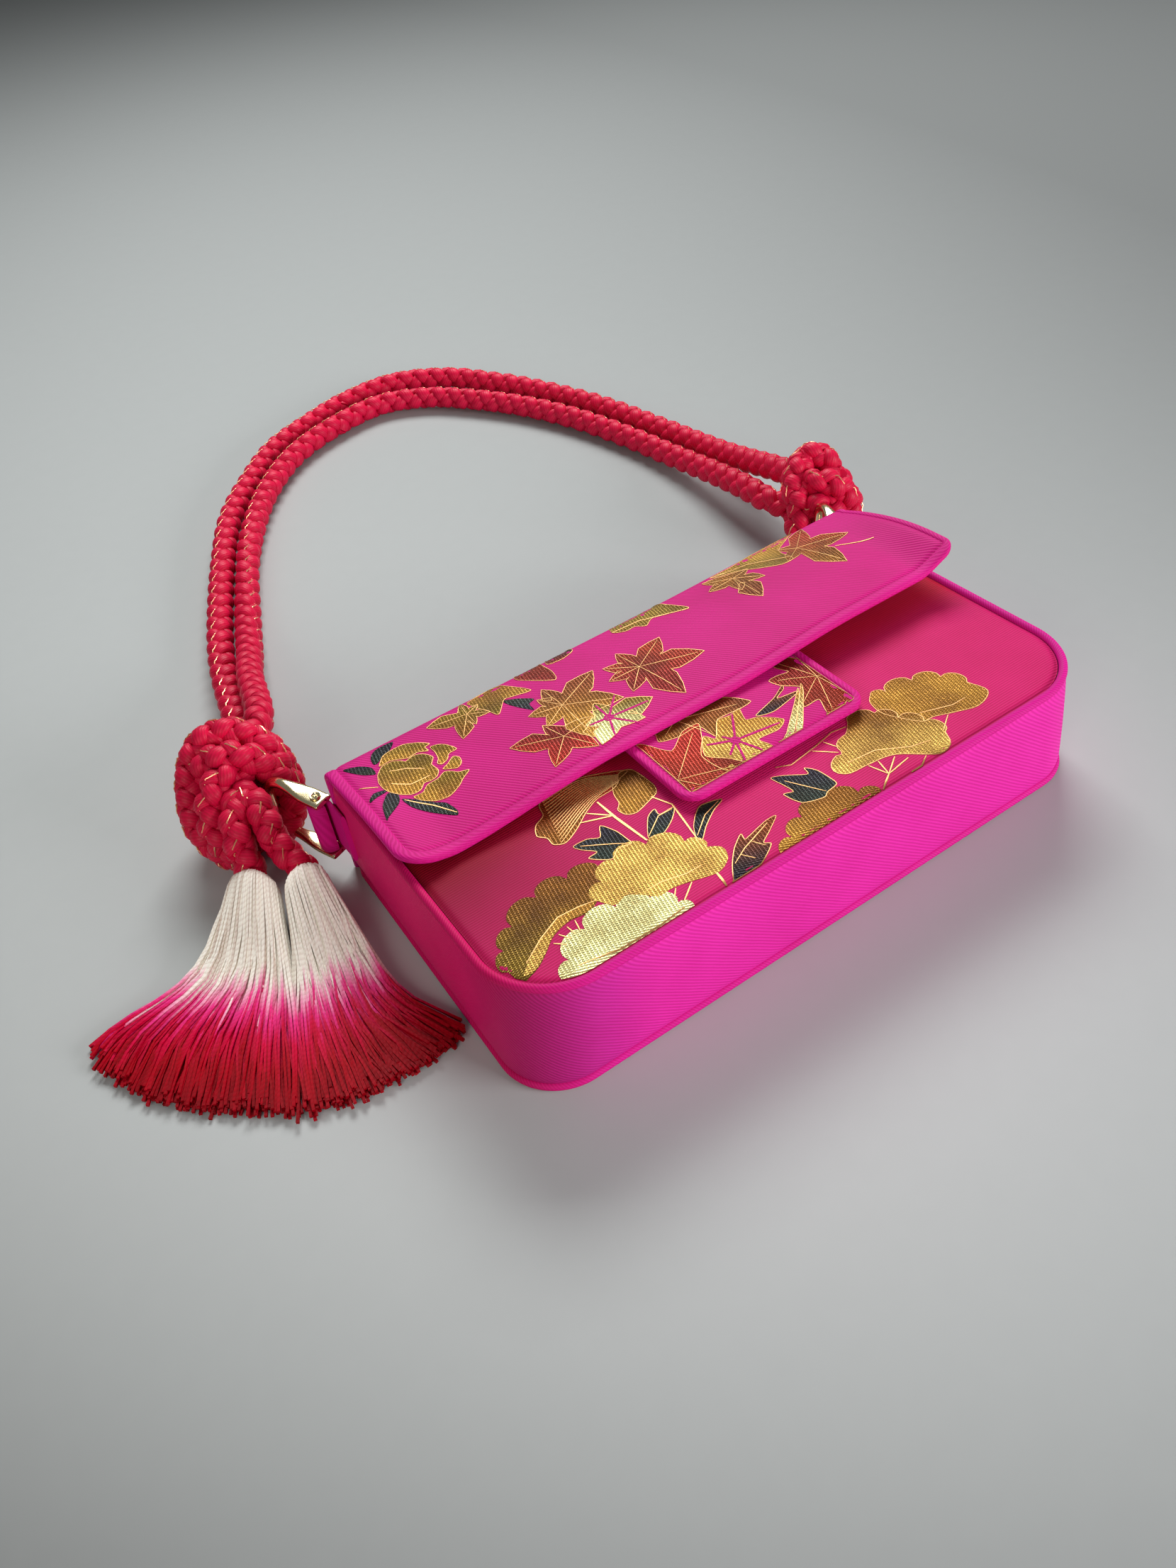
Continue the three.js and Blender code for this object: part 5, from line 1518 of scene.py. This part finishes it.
# Tassels. The cord's two ends leave the left knot. Each ends in a tassel of several hundred twisted
# threads, bound over it in a round shoulder and fanned out on the table, dipped from ivory to crimson.
thread_dye = Finish("dip-dyed thread", {"Specular IOR Level": 0.1})
thread_run, thread_round = thread_dye.pattern()
thread_tint = thread_dye.node("Attribute", {"attribute_name": "tint"})
dye_stage = thread_dye.node("SeparateColor", {}, {0: thread_tint})
thread_light = dye_stage.out("Green")
ply = ((thread_run * (2 * math.pi / 2.0)) + thread_round * (2 * math.pi)).sine() * 0.5 + 0.5
dye_colour = thread_dye.node("ValToRGB", {"stops": [
    (0.0, srgb(255, 250, 238)), (1.0, srgb(132, 0, 14)), (0.42, srgb(255, 250, 238)),
    (0.50, srgb(250, 170, 200)), (0.57, srgb(238, 54, 140)), (0.67, srgb(208, 4, 64)),
    (0.80, srgb(170, 0, 26))]}, {0: dye_stage})
# Painted shade: each thread's colour is darkened in the grooves of its ply and by its own light value.
shaded = thread_dye.blend(ply.above(0.0, 0.6) * 0.2 + thread_light * 0.8, srgb(176, 140, 122), (1, 1, 1, 1))
thread_dye.surface(thread_dye.blend(1.0, dye_colour, shaded, "MULTIPLY"), ply, 0.00005,
                   Roughness=0.55 - ply * 0.1)
thread_count = 640
thread_radius = 0.6


def tassel_threads(neck, heading, left_edge, right_edge, tips, seed):
    """Threads from the cord's end to the table. A thread holds one place (a, b) in the unit disc. It
    swells with the shoulder as a quarter circle, then runs between the tassel's two measured edges in
    the proportion (a + 1) / 2, and its height settles from the round head on the flat pile. Returns
    rings of points (threads, stations, sides, 3) and the run of each station."""
    draw = np.random.default_rng(seed)
    count = thread_count
    index = np.arange(count) + 0.5
    radius = np.sqrt(index / count) ** 0.85
    angle = index * np.pi * (3 - np.sqrt(5))
    a = (radius * np.cos(angle))[:, None]
    b = (radius * np.sin(angle))[:, None]
    turn = math.radians(heading)
    ahead = np.array([math.cos(turn), math.sin(turn)])
    aside = np.array([-math.sin(turn), math.cos(turn)])
    neck = np.array(neck, float)
    stations = np.concatenate([[0, 0.008, 0.024, 0.055, 0.1], np.linspace(0.1, 1, 10)[1:]])[None]
    share = np.clip((a + 1) / 2 + draw.normal(0, 0.02, (count, 1)), 0, 1)
    tip = np.interp(share, np.linspace(0, 1, len(tips)), tips) * (1 + draw.normal(0, 0.02, (count, 1)))
    forward = stations * tip
    shoulder = np.sqrt(1 - (1 - np.clip(forward / 6.5, 0.0, 1)) ** 2)
    low = np.interp(forward, *left_edge)
    high = np.interp(forward, *right_edge)
    drift = draw.normal(0, 1.0, (count, 1)) * rise(14, 90, forward) * 3.0
    wave = np.sin(forward / draw.uniform(7, 16, (count, 1)) + draw.uniform(0, 6.28, (count, 1)))
    wave = wave * draw.uniform(0.0, 2.1, (count, 1)) * rise(10, 70, forward)
    sideways = mix(low, high, share) * shoulder + drift + wave
    stack = (b / np.sqrt(np.maximum(1 - a * a, 0.15)) + 1) / 2
    axis_height = neck[2] - 4.5 * np.clip(forward / 15, 0, 1)
    head_height = axis_height + b * 9.8 * shoulder
    pile = mix(13.0, 3.2, np.sqrt(np.clip(forward / tip, 0, 1)))
    table = 0.7 + stack * (pile - 0.7) + 0.4 * wave * (stack > 0.3) + draw.uniform(0, 0.7, (count, 1))
    height = np.maximum(mix(head_height, table, rise(8, 46, forward)), 0.66)
    x = neck[0] + forward * ahead[0] + sideways * aside[0]
    y = neck[1] + forward * ahead[1] + sideways * aside[1]
    path = np.stack([x, y, height], axis=-1)
    way = unit(np.gradient(path, axis=1))
    side = unit(np.cross(way, np.array([0.02, 0.01, 1.0])))
    over = np.cross(side, way)
    ring = full_turn(4) + np.pi / 4
    size = thread_radius * np.where(stations > 0.985, 1.35, 1) * np.where(stations < 0.004, 0.5, 1)
    size = size[..., None, None]
    points = (path[:, :, None] + side[:, :, None] * np.cos(ring)[:, None] * size
              + over[:, :, None] * np.sin(ring)[:, None] * size)
    return points, forward


def thread_form(points, run):
    """All threads as one form: side faces with their own pattern places, and a cap on every end."""
    count, stations, sides = points.shape[:3]
    one = quads(stations, sides, True)
    shift = (np.arange(count) * stations * sides)[:, None, None]
    faces = (one[None] + shift).reshape(-1, 4)
    around = np.linspace(0, 1, sides + 1)
    shifted = run + np.random.default_rng(1).uniform(0, 40, (count, 1))
    place = np.stack([np.repeat(shifted[:, :, None], sides + 1, axis=2),
                      np.broadcast_to(around, (count, stations, sides + 1))], axis=-1)
    first = np.arange(sides)
    caps = np.stack([first, first[::-1] + (stations - 1) * sides])
    caps = (caps[None] + shift).reshape(-1, sides)
    return outward(points.reshape(-1, 3), [(faces, cells(place)), (caps, np.zeros((len(caps), sides, 2)))])


outer_end = [(-2.9, -22, 20.2), (-2.6, -23, 20), (-0.6, -27.5, 19.5), (2, -31.9, 19), (4, -35, 18.6)]
inner_end = [
    (10.7, -17.6, 20.5), (11.1, -18.4, 20.5), (15, -23, 20.4), (19.6, -27.3, 20), (23.5, -31, 19.8),
    (25.5, -33.4, 19.6)]
outer_left = ((0, 15, 31, 42, 52, 62, 72, 96), (-9, -9.6, -11, -14.8, -22, -31.5, -39, -43))
outer_right = ((0, 13, 30, 44, 70, 96), (9.6, 14.6, 22, 28, 40, 51))
inner_left = ((0, 11, 42, 70, 98), (-8.4, -11.6, -18.4, -25, -33))
inner_right = ((0, 8, 27, 42, 59, 72, 83, 98), (7.4, 7.2, 9.6, 10.7, 11.6, 15.5, 23, 33))
outer_tips = (74, 85, 91, 94, 94, 93, 91)
inner_tips = (94, 97, 98, 98, 97, 94, 88)


def lay_tassel(name, neck, heading, left_edge, right_edge, tips, seed, painted_brightness, end):
    """One tassel: its threads with each one's dye stage and painted light, and the cord's end that it hangs
    on.
    """
    points, run = tassel_threads(neck, heading, left_edge, right_edge, tips, seed)
    draw = np.random.default_rng(seed + 20)
    dye_shift = draw.normal(0, 0.045, (len(run), 1))
    stage = np.clip(run / run.max() + dye_shift * rise(0.2, 0.5, run / run.max()), 0, 1)
    # Painted light: each thread's light is drawn about the tassel's painted brightness; the inner tassel's is
    # higher, to lift it out of the bag's shade.
    light = np.clip(draw.normal(painted_brightness, 0.3, (len(run), 1)), 0.25, 1) + 0 * run
    sides = points.shape[2]
    stage, light = [np.repeat(part[:, :, None], sides, axis=2).reshape(-1, 1) for part in (stage, light)]
    tassel = make(f"{name}_tassel_threads", thread_form(points, run), thread_dye,
                  np.hstack([stage, light, stage, np.ones_like(stage)]))
    fit(tassel, f"{name}_tassel", "tassel_thread", f"{name}_tassel_head", f"{name}_tassel_fringe")
    fat, thin = wrap_forms(end, left_heart, 0.96)
    path = seen_from_camera(end, left_heart) / 1000
    cord_end = make(f"{name}_cord_end_braid", fat, braid)
    end_thread = make(f"{name}_cord_end_filament", thin, filament)
    for piece in (cord_end, end_thread):
        span(piece, "left_link", f"{name}_tassel", tuple(path[1]), tuple(path[-2]), "braided_cord",
             f"{name}_cord_end")


lay_tassel("outer", (-169.5, 80.5, 16), 226.3, outer_left, outer_right, outer_tips, 3, 1.1, outer_end)
lay_tassel("inner", (-152.5, 69.5, 16), 261.5, inner_left, inner_right, inner_tips, 5, 1.25, inner_end)

# Table. A plain pale grey sheet under the bag, with painted light: lighter in the middle of the view than
# at its corners, as a pool of lamp light. Its grey is e to a quadratic of the place (u to the right, v up)
# where the camera sees it.
floor_mesh = bpy.data.meshes.new("table")
floor_mesh.from_pydata([(-4, -4, 0), (4, -4, 0), (4, 4, 0), (-4, 4, 0)], [], [(0, 1, 2, 3)])
floor = bpy.data.objects.new("table", floor_mesh)
bpy.context.scene.collection.objects.link(floor)
paper = Finish("grey paper", {"Specular IOR Level": 0.15, "Roughness": 0.8})
paper_split = paper.node("SeparateXYZ", {}, {0: paper.node("TexCoord", output="Object")})
paper_x = paper_split - eye[0] / 1000
paper_y = paper_split.out("Y") - eye[1] / 1000


def from_eye(direction):
    """How far the table's point lies from the camera's eye in a direction: their dot product, in metres."""
    return paper_x * direction[0] + paper_y * direction[1] - eye[2] / 1000 * direction[2]


paper_far = from_eye(onward)
paper_far = paper_far.math("MAXIMUM", paper_far, 0.15)
paper_u = from_eye(rightward) / paper_far
paper_v = from_eye(upward) / paper_far
paper_log = (paper_u * -0.174 + paper_v * -0.513 + paper_u * paper_u * -0.671 + paper_u * paper_v * -0.755
             + paper_v * paper_v * -1.986 + paper.noise(0.01, 3.0) * 0.03 - 0.736)
paper_light = paper_log.math("EXPONENT", paper_log.math("MAXIMUM", paper_log, -1.72))
paper.surface(paper.blend(paper_light * 2.0, (0, 0, 0, 1), (0.484, 0.5115, 0.505, 1)))
floor_mesh.materials.append(paper.material)

# Light. A broad soft lamp hangs behind and above the bag, a second fills from the front and a weak third
# from the left, and the grey surround lights the rest.


def lamp(name, place, aim, size, power, colour=(1, 1, 1)):
    """A rectangular lamp at a place, turned towards its aim. Places and sizes are in metres."""
    light = bpy.data.lights.new(name, "AREA")
    light.shape = "RECTANGLE"
    light.size = size[0]
    light.size_y = size[1]
    light.energy = power
    light.color = colour
    lit = bpy.data.objects.new(name, light)
    back = unit(np.array(place, float) - np.array(aim, float))
    side = unit(np.cross([0, 0, 1.0], back))
    turn = np.column_stack([side, np.cross(back, side), back, place])
    lit.matrix_world = Matrix(np.vstack([turn, [0, 0, 0, 1]]).tolist())
    bpy.context.scene.collection.objects.link(lit)


lamp("overhead", (0.55, 0.98, 1.1), (0, 0.1, 0), (0.9, 0.6), 24)
lamp("front_fill", (0.8, -1.2, 0.45), (0, 0, 0.03), (0.8, 0.6), 21, (1, 0.97, 1))
lamp("left_fill", (-1.0, -0.75, 0.6), (-0.17, 0, 0.03), (0.6, 0.6), 6, (1, 0.92, 0.86))
world = bpy.data.worlds.new("surround")
world.use_nodes = True
world.node_tree.nodes["Background"].inputs["Color"].default_value = (0.75, 0.77, 0.78, 1)
world.node_tree.nodes["Background"].inputs["Strength"].default_value = 0.22
bpy.context.scene.world = world
bpy.context.scene.view_settings.view_transform = "Standard"

bpy.context.view_layer.update()
